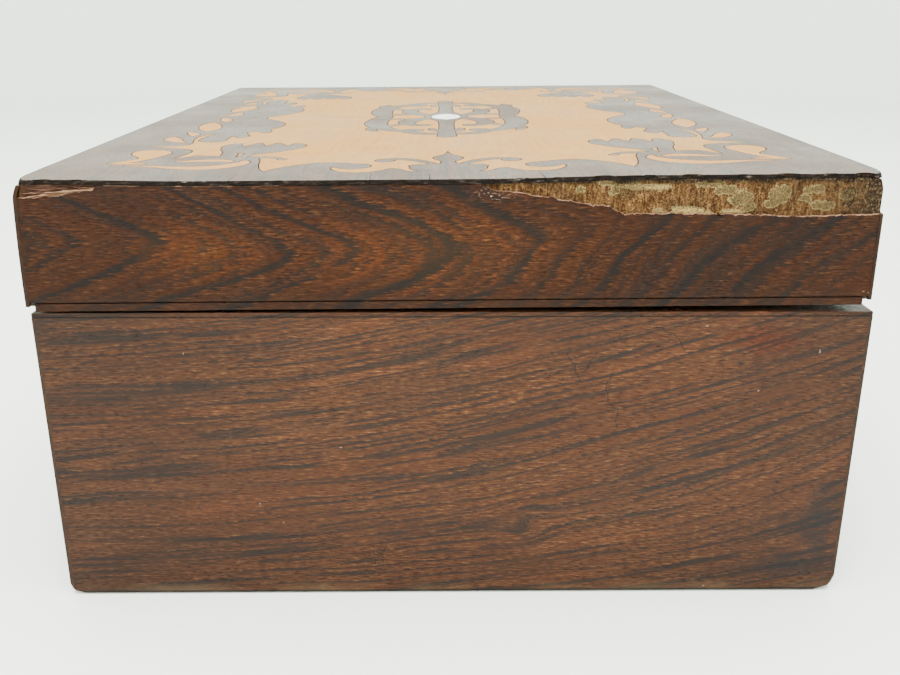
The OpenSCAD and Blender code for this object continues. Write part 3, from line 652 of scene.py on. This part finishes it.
def case_end_marks(s, u, v, base, dash, fibre):
    ragged = s.sway(s.grain((u, 0.3), (v, 0.3), **FINE), 1.4)
    wob_u = s.add(u, s.sway(s.noise(s.vec(u, v, 5.0), 0.35), 3.0))
    wob_v = s.add(v, s.sway(s.noise(s.vec(u, v, 8.0), 0.35), 3.0))
    # the knot
    away = s.length(s.mul(s.sub(wob_u, KNOT[0]), 1 / 1.5), s.mul(s.sub(wob_v, KNOT[1]), 1 / 2.4))
    away = s.add(away, s.sway(dash, 0.9), s.sway(fibre, 0.6))
    base = s.mix(s.step(away, 0.5, 1.7, 0.6, 0.0), base, (0.04, 0.016, 0.008))
    outline = s.peaks(away, 0.0, 3.0, [(0.25, 0.3, 0.8), (1.0, 0.35, 0.6), (1.8, 0.3, 0.3)])
    base = s.mix(outline, base, DARK)
    # smoke near the front edge, a clean red patch under the rim, a rubbed lower edge
    smoke = s.most(s.blob(u, v, (107.0, 22.0), (7.0, 19.0), ragged, 0.8),
                   s.blob(u, v, (99.0, 9.0), (12.0, 6.0), ragged, 0.8))
    base = s.mix(s.mul(smoke, s.step(fibre, 0.25, 0.6), 0.72), base, (0.01, 0.009, 0.009))
    clean = s.blob(u, v, (86.0, 80.0), (15.0, 6.0), ragged, 0.8)
    base = s.tint(s.mul(clean, 0.7), base, (1.15, 0.62, 0.5))
    low = s.mul(s.fall(s.add(v, s.mul(ragged, 3.0)), 0.5, 5.0),
                s.step(s.grain((u, 0.03), 2.0), 0.42, 0.62))
    base = s.mix(s.mul(low, 0.55), base, (0.115, 0.07, 0.032))
    # hairline cracks, scratches and nicks
    cracks = [[(31, 76), (35.5, 68)], [(44, 70.5), (42, 65), (45.5, 59), (46, 53.5)],
              [(39, 76), (36, 71)], [(54.5, 84), (60, 82), (63.5, 77)],
              [(92, 34), (102, 26.5)], [(-25, 13.5), (-20, 13.2)], [(-23.5, 16), (-23, 10)],
              [(-20.5, 16), (-21, 10.5)]]
    crack = s.most(*(s.hairline(wob_u, wob_v, points) for points in cracks))
    base = s.mix(s.mul(crack, 0.75), base, CRACK)
    nicks = [((100.8, 76.5), (0.35, 0.75)), ((69, 84), (0.6, 0.25)), ((85, 65), (0.4, 0.3)),
             ((-56, 30.2), (0.3, 0.3)), ((-49.5, 24), (0.25, 0.25)), ((-74, 76.5), (0.2, 0.4)),
             ((-32, 48), (0.5, 0.2)), ((75, 2.0), (0.5, 0.3))]
    frayed = s.sway(dash, 1.2)
    nick = s.most(*(s.blob(u, v, centre, radius, frayed) for centre, radius in nicks))
    base = s.mix(s.mul(nick, 0.55), base, (0.24, 0.17, 0.13))
    # painted shade: darker towards both ends and the foot
    ends = s.step(s.size(s.add(u, -12.0)), 40.0, 115.0)
    base = s.tint(ends, base, (0.74, 0.76, 0.82))
    base = s.tint(s.fall(v, 6.0, 34.0), base, (0.8, 0.8, 0.84))
    base = s.tint(s.step(v, 86.7, 86.9), base, (0.8, 0.78, 0.74))
    # dark dirt where the rim meets the veneer, and a painted contact shadow along the foot
    joint_dirt_and_foot_shadow = s.most(s.step(s.size(s.sub(v, 86.75)), 0.1, 0.38, 0.7, 0.0),
                   s.step(v, 0.95, 1.5, 0.85, 0.0))
    return s.mix(joint_dirt_and_foot_shadow, base, CRACK)


def lid_height(s, u, v):
    """lid_level() as nodes; u runs towards the front."""
    return s.sub(s.sub(v, LID_BASE), s.mul(s.add(u, HINGE_Y), LID_SLOPE))


def lid_end_figure(s, u, v, dash, fibre):
    """A flat-sawn figure of nested arches that point to the front."""
    z = lid_height(s, u, v)
    middle = s.add(s.step(u, -80.0, -50.0, 18.0, 15.0), s.step(u, 5.0, 75.0, 0.0, 18.0))
    off = s.add(s.sub(z, middle), s.sway(s.grain((u, 0.03), 3.0), 4.0))
    arm = s.sub(s.math("SQRT", s.madd(off, off, 9.0)), 3.0)
    bulge = s.grain((u, 0.02), (z, 0.06), 5.0)
    arch = s.add(u, s.mul(arm, s.step(u, -70.0, 50.0, 2.5, 1.3)), s.sway(bulge, 14.0),
                 s.sway(fibre, 9.0), s.sway(dash, 5.0))
    lines = [(-100, 2.0, 0.7), (-79, 3.0, 1.0), (-60, 1.4, 0.6), (-44, 3.0, 1.0), (-26, 2.4, 1.0),
             (-12, 1.4, 0.6), (-1, 3.0, 1.0)]
    more = [(24, 3.0, 1.0), (37, 1.6, 0.6), (60, 2.6, 0.9), (78, 2.2, 0.8), (93, 3.0, 1.0),
            (110, 3.0, 1.0), (126, 2.4, 0.8)]
    dark = s.most(s.peaks(arch, -120, 10, lines), s.peaks(arch, 10, 140, more))
    gate = s.step(s.grain((u, 0.05), (z, 0.16), 41.0), 0.26, 0.44)
    return s.weigh((arch, 0.5), (z, 0.15)), s.mul(dark, gate)


def lid_end_marks(s, u, v, base, dash, fibre):
    z = lid_height(s, u, v)
    # painted light and shade: warmer and brighter over two broad patches in the middle of the end,
    # darker and greyer elsewhere towards its ends
    painted_lit_middle = s.most(s.blob(u, z, (-66.0, 15.0), (26.0, 13.0), 0.0, 1.0),
                  s.blob(u, z, (-6.0, 15.0), (56.0, 18.0), 0.0, 1.0))
    base = s.mix(painted_lit_middle, s.tint(1.0, base, (0.7, 0.72, 0.8)),
                 s.tint(1.0, base, (1.28, 1.16, 0.88)))
    # dirt under the bead, hairlines, scuffs by the torn strip, and brassy chips at the corner
    low = s.step(s.add(z, s.sway(fibre, 2.0)), 0.8, 3.6, 0.15, 0.0)
    base = s.mix(low, base, (0.012, 0.009, 0.007))
    cracks = [[(-81, 30.5), (-80, 26.5)], [(-51.5, 20), (-48, 14.5)],
              [(12, 24), (20, 21.5), (18, 15)], [(30, 13), (38, 10)]]
    crack = s.most(*(s.hairline(u, z, points, 0.12) for points in cracks))
    base = s.mix(s.mul(crack, 0.6), base, (0.008, 0.005, 0.004))
    scuff = s.mul(s.blob(u, z, (11.0, 29.8), (9.0, 2.4), 0.0, 0.9),
                  s.step(s.grain((u, 1.3), (z, 2.6), 3.0), 0.58, 0.68))
    base = s.mix(s.mul(scuff, 0.55), base, (0.42, 0.33, 0.28))
    chips = s.most(s.blob(u, z, (112.2, 2.1), (1.0, 0.24)), s.blob(u, z, (110.4, 2.4), (0.5, 0.2)))
    return s.mix(s.mul(chips, 0.6), base, (0.17, 0.12, 0.045))


# ---- marquetry top

def border_wear(bm):
    """Rounds and roughens the outer arris of the marquetry sheet, and blunts its corners."""
    low, high = (corner * 1000 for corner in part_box("top_ground"))
    bands = (0.25, 0.7, 1.3)
    for side in (0, 1):
        for d in bands + (2.2, 3.2):
            slice_at(bm, side, (low[side] + d, high[side] - d))

    def inset(p):
        return min(p.x - low.x, high.x - p.x, p.y - low.y, high.y - p.y)

    def rim_faces(side):
        """Border faces that run along the other axis than side."""
        return lambda: [f for f in bm.faces if inset(f.calc_center_median()) < bands[-1]
                        and abs(f.normal[side]) < 0.9]

    slice_at(bm, 1, np.arange(-112, 113, 1.5), rim_faces(1))
    slice_at(bm, 0, np.arange(-148.5, 149, 3.0), rim_faces(0))
    for v in bm.verts:
        x, y, z = v.co
        d = inset(v.co)
        near = x < 0
        reach = 3.2 if near else 1.8
        dx = reach - min(x - low.x, high.x - x)
        dy = reach - min(y - low.y, high.y - y)
        if dx > 0 and dy > 0:
            pull = max(dx, dy) / math.hypot(dx, dy)
            v.co.x += dx * (1 - pull) * (1 if near else -1)
            v.co.y += dy * (1 - pull) * (1 if y < 0 else -1)
            d = min(d, reach - max(dx, dy))
        if d > bands[-1] + 0.05 or lid_level(y, z) < SHEET_TOP - 0.1:
            continue
        worn = fbm(x * 0.35, y * 0.35) + 0.6 * fbm(x * 0.06, y * 0.06, 7.0)
        corner = math.hypot(x + HALF_LENGTH, 113 - abs(y - LID_SHIFT))
        r = max(0.15, 0.42 + 0.04 * worn) + 0.9 * max(0.0, 1 - corner / 8)
        r = min(1.25, r)
        if d < r:
            v.co.z -= min(0.95, r - math.sqrt(max(0.0, r * r - (r - d) ** 2)))
        if d < 0.1:
            v.co.x += 0.07 * (1 + fbm(x * 0.5, y * 1.2, 3.0)) * (1 - smooth(x, -146, -138))
    bm.normal_update()
    for face in bm.faces:
        middle = face.calc_center_median()
        is_low = lid_level(middle.y, middle.z) < SHEET_TOP - 0.1
        is_side = abs(middle.y - LID_SHIFT) > 113
        if (inset(middle) < (0.75 if is_side else 0.2)
                or is_low and inset(middle) < bands[-1] and face.normal.z > -0.5):
            face.material_index = 2


def make_top():
    sheet = {"x_step": 25, "y_step": 8, "cupped": True}
    lid_copy("top_ground", "rosewood_top", [top_wood, glue_line, edge_dirt_and_highlight], shape=border_wear, **sheet)
    for node, slot, wood in (("top_field", "satinwood", satin_wood),
                             ("top_light_inlay", "satinwood", inlay_wood),
                             ("top_medallion", "medallion_wood", medallion_wood),
                             ("top_pearl", "pearl_shell", pearl)):
        lid_copy(node, slot, [wood, glue_line], outlined=slot == "satinwood", **sheet)
    lid_copy("lid_top_board", "carcass_wood", [torn_wood], 25, 8, (WARP_FROM,))
    lid_copy("lid_right_veneer", "rosewood_lid", [lid_far_end_wood], 0, 8, (WARP_FROM,))
    lid_copy("lid_back_veneer", "rosewood_lid", [lid_side_wood], 25, 0,
             (6, 12, 18, 24, 26, 28, WARP_FROM, 31))


# ---- torn end of the lid

def face_outline(node, x):
    """The corners of a node's flat face at x, in mm, in order round the face."""
    mesh = NODES[node].data
    place = [tuple(round(c * 1000, 2) for c in v.co) for v in mesh.vertices]
    edges = set()
    for polygon in mesh.polygons:
        corners = [place[i] for i in polygon.vertices]
        if all(abs(c[0] - x) < 0.02 for c in corners):
            edges.update(zip(corners, corners[1:] + corners[:1]))
    # an edge between two of these faces is there in both directions
    follow = {one: other for one, other in edges if (other, one) not in edges}
    start = min(follow)
    loop, here = [start], follow[start]
    while here != start:
        loop.append(here)
        here = follow[here]
    return [(c[1], c[2]) for c in loop]


PLAIN, TOP, TORN = 0, 1, 2


def veneer_outline():
    """The left end veneer's outline, with splintered torn edges: [(y, z, kind of edge), ...]."""
    corners = face_outline("lid_left_veneer", -HALF_LENGTH)
    out = []
    for (y0, z0), (y1, z1) in zip(corners, corners[1:] + corners[:1]):
        y, z = (y0 + y1) / 2, (z0 + z1) / 2
        level = lid_level(y, z)
        kind = TOP if level > SHEET_BOTTOM - 0.12 else PLAIN
        if 22.5 < level < SHEET_BOTTOM - 0.12 and abs(y - LID_SHIFT) < 112.9:
            kind = TORN
        size = math.hypot(y1 - y0, z1 - z0)
        count = max(1, round(size / {TORN: 0.5, TOP: 1.0, PLAIN: 4.0}[kind]))
        for i in range(count):
            t = i / count
            y, z = y0 + (y1 - y0) * t, z0 + (z1 - z0) * t
            if kind == TORN and i > 0:
                step = math.floor(4 * fbm(y * 0.45, 11.0)) * 0.12
                z += step + 0.16 * fbm(y * 1.6, 5.0)
            out.append((y, z, kind))
    return out


def make_end_veneer():
    """The veneer of the photographed end of the lid, with a splintered slope where it tore."""
    points = veneer_outline()
    n = len(points)
    area = sum(points[i][0] * points[(i + 1) % n][1] - points[(i + 1) % n][0] * points[i][1]
               for i in range(n))
    turn = 1 if area > 0 else -1
    bm = bmesh.new()
    front, middle, back = [], [], []
    for i, (y, z, kind) in enumerate(points):
        y0, z0, _ = points[i - 1]
        y1, z1, _ = points[(i + 1) % n]
        size = math.hypot(y1 - y0, z1 - z0) or 1
        inward = (-(z1 - z0) / size * turn, (y1 - y0) / size * turn)
        if kind == TORN:
            width, depth = 0.17 + 0.16 * fbm(y * 0.9, 2.0), 0.5 + 0.2 * fbm(y * 0.5, 4.0)
        elif kind == TOP:
            width, depth = 0.16 + 0.2 * fbm(y * 0.35, 6.0), 0.3
        else:
            width, depth = 0.12, 0.12
        width = max(0.06, width)
        front.append(bm.verts.new((-150, y + inward[0] * width, z + inward[1] * width)))
        middle.append(bm.verts.new((-150 + depth, y, z)))
        back.append(bm.verts.new((-149, y, z)))
    bm.faces.new(front)
    bm.faces.new(back[::-1])
    for i in range(n):
        j = (i + 1) % n
        kinds = {points[i][2], points[j][2]}
        bare = 45 < points[i][0] < 91 and fbm(points[i][0] * 0.12, 9.0) > -0.2
        pale = kinds == {TORN} or kinds == {TOP} and bare
        for a, b in ((front, middle), (middle, back)):
            face = bm.faces.new([a[i], b[i], b[j], a[j]])
            face.material_index = 1 if pale else 0
    bmesh.ops.triangulate(bm, faces=[f for f in bm.faces if len(f.verts) > 4])
    bmesh.ops.recalc_face_normals(bm, faces=bm.faces)
    to_metres(bm)
    piece = new_piece("torn_end_veneer", bm, "lid", [lid_end_wood, splinter_wood], 20)
    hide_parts("lid_left_veneer")


# Patches of old glue on the bared end: (middle across, level, half width, half height, thickness)
GLUE = [(-61, 24.4, 4.0, 1.3, 1.5), (-66, 23.9, 2.4, 0.6, 1.4), (-54, 24.6, 1.6, 0.5, 1.4),
        (-47, 31.2, 3.6, 0.7, 1.2), (-53, 30.9, 3.0, 0.7, 1.3), (-42, 30.2, 1.4, 1.2, 1),
        (-67, 31.6, 3.4, 0.9, 1), (-71, 29.8, 2.8, 1.2, 1), (-75, 27.8, 2.8, 1.9, 1),
        (-73, 24.3, 2.6, 0.5, 1.4), (-77, 25.6, 1.6, 1.4, 1), (-85, 28.6, 2.6, 2.2, 1),
        (-83, 26.4, 1.6, 1.2, 1), (-94, 30.2, 2.6, 1.0, 1), (-97, 25.8, 3.0, 1.1, 1),
        (-92, 27.6, 1.4, 1.0, 1), (-103, 28.4, 1.8, 1.4, 1), (-23, 27.6, 1.4, 0.9, 1.3),
        (-33, 30.6, 1.2, 0.9, 1), (-40, 32.0, 2.2, 0.5, 1)]


def glue_cover(y, level):
    """How thickly old glue lies at a place on the bared end: 0 is bare wood, 1 a thin skin."""
    fray = 0.55 * fbm(y * 0.35, level * 0.5, 21.0) + 0.25 * fbm(y * 1.3, level * 1.3, 5.0)
    best = 0.0
    for my, ml, ry, rl, thick in GLUE:
        away = math.hypot((y - my) / ry, (level - ml) / rl) + fray
        best = max(best, thick * smooth(1.12 - away, 0.0, 0.16))
    return best


def bared_ground(name, y_low, y_high, low, high, glued):
    """The rough wood and old glue that shows where veneer is gone, as a skin on the boards."""
    step = 0.45
    bm = bmesh.new()
    layer = bm.verts.layers.float.new("old_glue")
    levels = np.arange(low, high + step / 2, step)
    grid = []
    for y in np.arange(y_low, y_high + step / 2, step):
        row = []
        for level in levels:
            level = min(level, high)
            glue = glue_cover(y, level) if glued else 0.0
            fibre = 0.5 + 0.5 * fbm(y * 1.5, level * 0.35, 2.0)
            pits = 0.5 + 0.5 * fbm(y * 2.4, level * 2.0, 8.0)
            height = 0.06 + 0.22 * fibre * pits + 0.16 * glue + 0.05 * glue * pits
            edge = min(1.0, (high - level) / 0.9, (y - y_low) / 1.2 + 0.2)
            v = bm.verts.new((-149 - height * max(0.15, edge), y, from_lid(y, level)))
            v[layer] = glue
            row.append(v)
        grid.append(row)
    for a, b in zip(grid, grid[1:]):
        for i in range(len(levels) - 1):
            bm.faces.new([a[i], b[i], b[i + 1], a[i + 1]])
    rim = [e for e in bm.edges if e.is_boundary]
    made = bmesh.ops.extrude_edge_only(bm, edges=rim)
    for v in (g for g in made["geom"] if isinstance(g, bmesh.types.BMVert)):
        v.co.x = -148.9
    back = [e for e in bm.edges if e.is_boundary]
    bmesh.ops.holes_fill(bm, edges=back)
    bmesh.ops.recalc_face_normals(bm, faces=bm.faces)
    to_metres(bm)
    new_piece(name, bm, "lid", [torn_wood if glued else chip_wood], 60)


def make_slivers():
    """Pale splinters left along the chip at the back corner of the lid's end."""
    bm = bmesh.new()
    splinters = [(113.4, 29.5, 90.0, 31.6, 0.55, 0.35), (107.0, 30.6, 89.0, 32.1, 0.42, 0.6),
                 (98.0, 31.9, 88.6, 32.6, 0.3, 0.5), (113.2, 30.4, 108.0, 30.7, 0.22, 0.3)]
    for y0, l0, y1, l1, width, lift in splinters:
        steps = 22
        rows = []
        for i in range(steps + 1):
            t = i / steps
            y = y0 + (y1 - y0) * t
            level = l0 + (l1 - l0) * t + 0.25 * fbm(y * 0.5, l0)
            half = width / 2 * (0.25 + math.sin(math.pi * min(1, t * 1.15)) ** 0.7
                                if t < 0.87 else 0.25 * (1 - t) / 0.13 + 0.05)
            half *= 1 + 0.35 * fbm(y * 1.7, l0 * 3)
            x = -149.1 - lift
            rows.append([bm.verts.new((px, y, from_lid(y, pl))) for px, pl in
                         ((x, level + half), (x - 0.12, level), (x, level - half),
                          (-148.95, level - half), (-148.95, level + half))])
        for a, b in zip(rows, rows[1:]):
            for i in range(5):
                j = (i + 1) % 5
                bm.faces.new([a[i], a[j], b[j], b[i]])
        bm.faces.new(rows[0][::-1])
        bm.faces.new(rows[-1])
    bmesh.ops.recalc_face_normals(bm, faces=bm.faces)
    to_metres(bm)
    new_piece("chip_splinters", bm, "lid", [splinter_wood], 25)


# ---- linings

CASE_FLOOR = 8.6
INNER_L, INNER_W = 138.0, 102.0         # half sizes of the inside
LOCK_HALF, LOCK_BOTTOM = 28.0, 57.0     # opening in the lining for the lock


def slab(name, node, us, vs, place, body, material, skip=None,
         loop=False):
    """A sheet of cloth with a thickness: place(u, v, 0) is its back and place(u, v, 1) its face."""
    bm = bmesh.new()
    count = len(us)
    verts = [[[bm.verts.new([c * MM for c in place(u, v, side)]) for v in vs] for u in us]
             for side in (0, 1)]
    cells = {(i, j) for i in range(count if loop else count - 1) for j in range(len(vs) - 1)
             if not (skip and skip(us[i], vs[j]))}
    for i, j in sorted(cells):
        ahead = (i + 1) % count
        ring = [(i, j), (ahead, j), (ahead, j + 1), (i, j + 1)]
        bm.faces.new([verts[1][p][q] for p, q in ring])
        bm.faces.new([verts[0][p][q] for p, q in reversed(ring)])
        beside = [(i, j - 1), (ahead, j), (i, j + 1), ((i - 1) % count, j)]
        for k in range(4):
            if beside[k] not in cells:
                (p, q), (r, t) = ring[k], ring[(k + 1) % 4]
                bm.faces.new([verts[1][r][t], verts[1][p][q], verts[0][p][q], verts[0][r][t]])
    bmesh.ops.delete(bm, geom=[v for v in bm.verts if not v.link_faces], context="VERTS")
    bmesh.ops.recalc_face_normals(bm, faces=bm.faces)
    piece = new_piece(name, bm, body, [material], 40)
    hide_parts(node)


def spaced(low, high, step):
    count = max(1, round((high - low) / step))
    return [low + (high - low) * i / count for i in range(count + 1)]


def swell(a, b, seed):
    """Gentle unevenness of glued cloth, from 0 to about 1."""
    return min(1.0, max(0.0, 0.5 + 0.5 * fbm(a * 0.05, b * 0.05, seed)
                        + 0.15 * fbm(a * 0.3, b * 0.3, seed + 3)))


def wall_path(cut):
    """Points round the inside of the walls, [x, y, inward x, inward y], with stops at the cut."""
    xs = spaced(-INNER_L, -cut, 4) + spaced(-cut, cut, 4)[1:] + spaced(cut, INNER_L, 4)[1:]
    ys = spaced(-INNER_W, INNER_W, 4)
    path = [(x, -INNER_W, 0, 1) for x in xs[1:-1]] + [(INNER_L, -INNER_W, -1, 1)]
    path += [(INNER_L, y, -1, 0) for y in ys[1:-1]] + [(INNER_L, INNER_W, -1, -1)]
    path += [(x, INNER_W, 0, -1) for x in xs[-2:0:-1]] + [(-INNER_L, INNER_W, 1, -1)]
    path += [(-INNER_L, y, 1, 0) for y in ys[-2:0:-1]] + [(-INNER_L, -INNER_W, 1, 1)]
    return path


def in_from_edge(x, y, reach):
    """1 at the edge of the inside, falling to 0 at reach from it."""
    return max(0.0, 1 - min(INNER_L - abs(x), INNER_W - abs(y)) / reach)


def wall_cloth(p, level, side, low, high, seed):
    """A place on a wall's cloth, thinner above high and below low where it is turned in."""
    x, y, inx, iny = p
    edge = 0.25 if level > high or level < low else 0.0
    off = 0.78 - 0.3 * swell(x + y, level, seed) - edge if side else 0.03
    return x + inx * off, y + iny * off


def make_linings():
    def case_wall(p, z, side):
        return *wall_cloth(p, z, side, 9.8, 87.2, 1.0), z

    def at_lock(p, z):
        return p[1] == -INNER_W and -LOCK_HALF <= p[0] < LOCK_HALF and z >= LOCK_BOTTOM

    def case_floor(x, y, side):
        pile = 0.95 - 0.35 * swell(x, y, 5.0) - 0.3 * in_from_edge(x, y, 2) if side else 0.03
        return x, y, CASE_FLOOR + pile

    def lid_wall(p, level, side):
        x, y = wall_cloth(p, level, side, -0.6, math.inf, 8.0)
        return x, *lid_place(y, level)

    def lid_panel(x, y, side):
        level = 24.45 + 0.5 * swell(x, y, 12.0) + 0.4 * in_from_edge(x, y, 3) if side else 25.87
        return x, *lid_place(y, level)

    def under(x, y, side):
        trim = 2.0 * max(0.0, 1 - math.hypot(147 - abs(x), 111 - abs(y)) / 4)
        return (x - math.copysign(trim, x), y - math.copysign(trim, y),
                0.12 * swell(x * 4, y * 4, 15.0) if side else 0.59)

    path = wall_path(LOCK_HALF)
    heights = spaced(9.6, LOCK_BOTTOM, 4) + spaced(LOCK_BOTTOM, 87.0, 4)[1:] + [87.5]
    xs, ys = spaced(-INNER_L + 0.1, INNER_L - 0.1, 3), spaced(-INNER_W + 0.1, INNER_W - 0.1, 3)
    slab("case_wall_velvet", "wall_lining", path, heights, case_wall, "case", velvet,
         at_lock, True)
    slab("case_floor_velvet", "floor_lining", xs, ys, case_floor, "case", velvet)
    slab("lid_wall_velvet", "lid_wall_lining", path, [-1.0, -0.6] + spaced(0, 24.4, 4), lid_wall,
         "lid", velvet, None, True)
    slab("lid_top_velvet", "lid_lining", xs, ys, lid_panel, "lid", velvet)
    slab("green_baize", "base_baize", spaced(-147, 147, 3), spaced(-111, 111, 3), under, "case",
         baize)


def soften(width, *names):
    """Takes the sharpness off a CAD node's arrises."""
    for name in names:
        weld = NODES[name].modifiers.new("weld", "WELD")
        weld.merge_threshold = 0.00001
        bevel = NODES[name].modifiers.new("arris", "BEVEL")
        bevel.width = width * MM
        bevel.segments = 2
        bevel.limit_method = "ANGLE"
        bevel.angle_limit = math.radians(40)
        bevel.harden_normals = True


def all_sides(pattern):
    return [pattern.format(side) for side in ("left", "right", "front", "back")]


make_camera()
make_stage()
make_lights()

CASE_WOOD = {"tone": 0.68, "warm": 1.02, "shine": 0.105}
LID_END_WOOD = {"tone": 0.54, "warm": 0.94, "shine": 0.055}
case_end_wood = rosewood("case_end", "y", "z", 3.0, case_end_figure, case_end_marks,
                         **CASE_WOOD)
case_far_end_wood = rosewood("case_far_end", "y", "z", 53.0, **CASE_WOOD)
case_side_wood = rosewood("case_side", "x", "z", 17.0, **CASE_WOOD)
lid_end_wood = rosewood("lid_end", "y", "z", 23.0, lid_end_figure, lid_end_marks,
                        **LID_END_WOOD)
lid_far_end_wood = rosewood("lid_far_end", "y", "z", 63.0, **LID_END_WOOD)
lid_side_wood = rosewood("lid_side", "x", "z", 77.0, tone=0.55, shine=0.06)
top_wood = rosewood("top", "x", "y", 31.0, tone=0.9)
satin_wood = fine_wood("satinwood", (0.4, 0.2, 0.036), (0.27, 0.122, 0.02), 0.08, 0.45, 41.0)
inlay_wood = fine_wood("inlay_wood", (0.42, 0.205, 0.046), (0.29, 0.125, 0.026), 0.08, 0.45, 47.0)
medallion_wood = fine_wood("medallion", (0.085, 0.045, 0.026), (0.03, 0.015, 0.009), 0.12, 0.36, 43.0)
pearl = shell("pearl")
edge_dirt_and_highlight = dirt_and_highlight_edge("dirt_and_highlight_edge")
glue_line = old_glue_line("glue_line")
torn_wood = bared_wood("torn_wood", True)
chip_wood = bared_wood("chip_wood", False)
splinter_wood = split_wood("splinter_wood")
deal = deal_wood("deal")
velvet = cloth("claret_velvet", (0.026, 0.003, 0.0055), (0.085, 0.0105, 0.017), 1.4,
               (0.75, 0.28, 0.32))
baize = cloth("green_baize", (0.018, 0.05, 0.022), (0.06, 0.13, 0.062), 0.9, (0.5, 0.8, 0.5))
brass = metal("brass", (0.6, 0.42, 0.16), (0.24, 0.15, 0.055), 0.26)
screw_brass = metal("screw_brass", (0.52, 0.36, 0.14), (0.18, 0.11, 0.045), 0.32)
steel = metal("steel", (0.36, 0.34, 0.31), (0.13, 0.1, 0.075), 0.34)

paint(case_end_wood, "case_left_veneer", "rim_left")
paint(case_far_end_wood, "case_right_veneer", "rim_right")
paint(lid_end_wood, "lip_left")
paint(lid_far_end_wood, "lip_right")
paint(case_side_wood, "case_front_veneer", "case_back_veneer", "rim_front", "rim_back")
paint(lid_side_wood, "lid_front_veneer", "lip_front", "lip_back")
paint(deal, *all_sides("case_{}_board"), "case_bottom_board", *all_sides("lid_{}_rail"))
paint(brass, "keyhole_escutcheon", "lock_plate", "lock_case", "lock_bolt", "link_plate",
      "hinge_case_leaves", "hinge_lid_leaves")
paint(screw_brass, "lock_screws", "link_screws", "hinge_case_screws", "hinge_lid_screws")
paint(steel, "lock_pins", "lock_spring", "hinge_pins")
soften(0.2, *all_sides("case_{}_veneer"), *all_sides("rim_{}"), *all_sides("lip_{}"),
       "lid_front_veneer")

make_top()
make_end_veneer()
bared_ground("torn_ground", -112.2, -7.0, 22.4, SHEET_BOTTOM, True)
bared_ground("chip_ground", 91.0, 113.4, 29.2, SHEET_BOTTOM, False)
make_slivers()
make_linings()
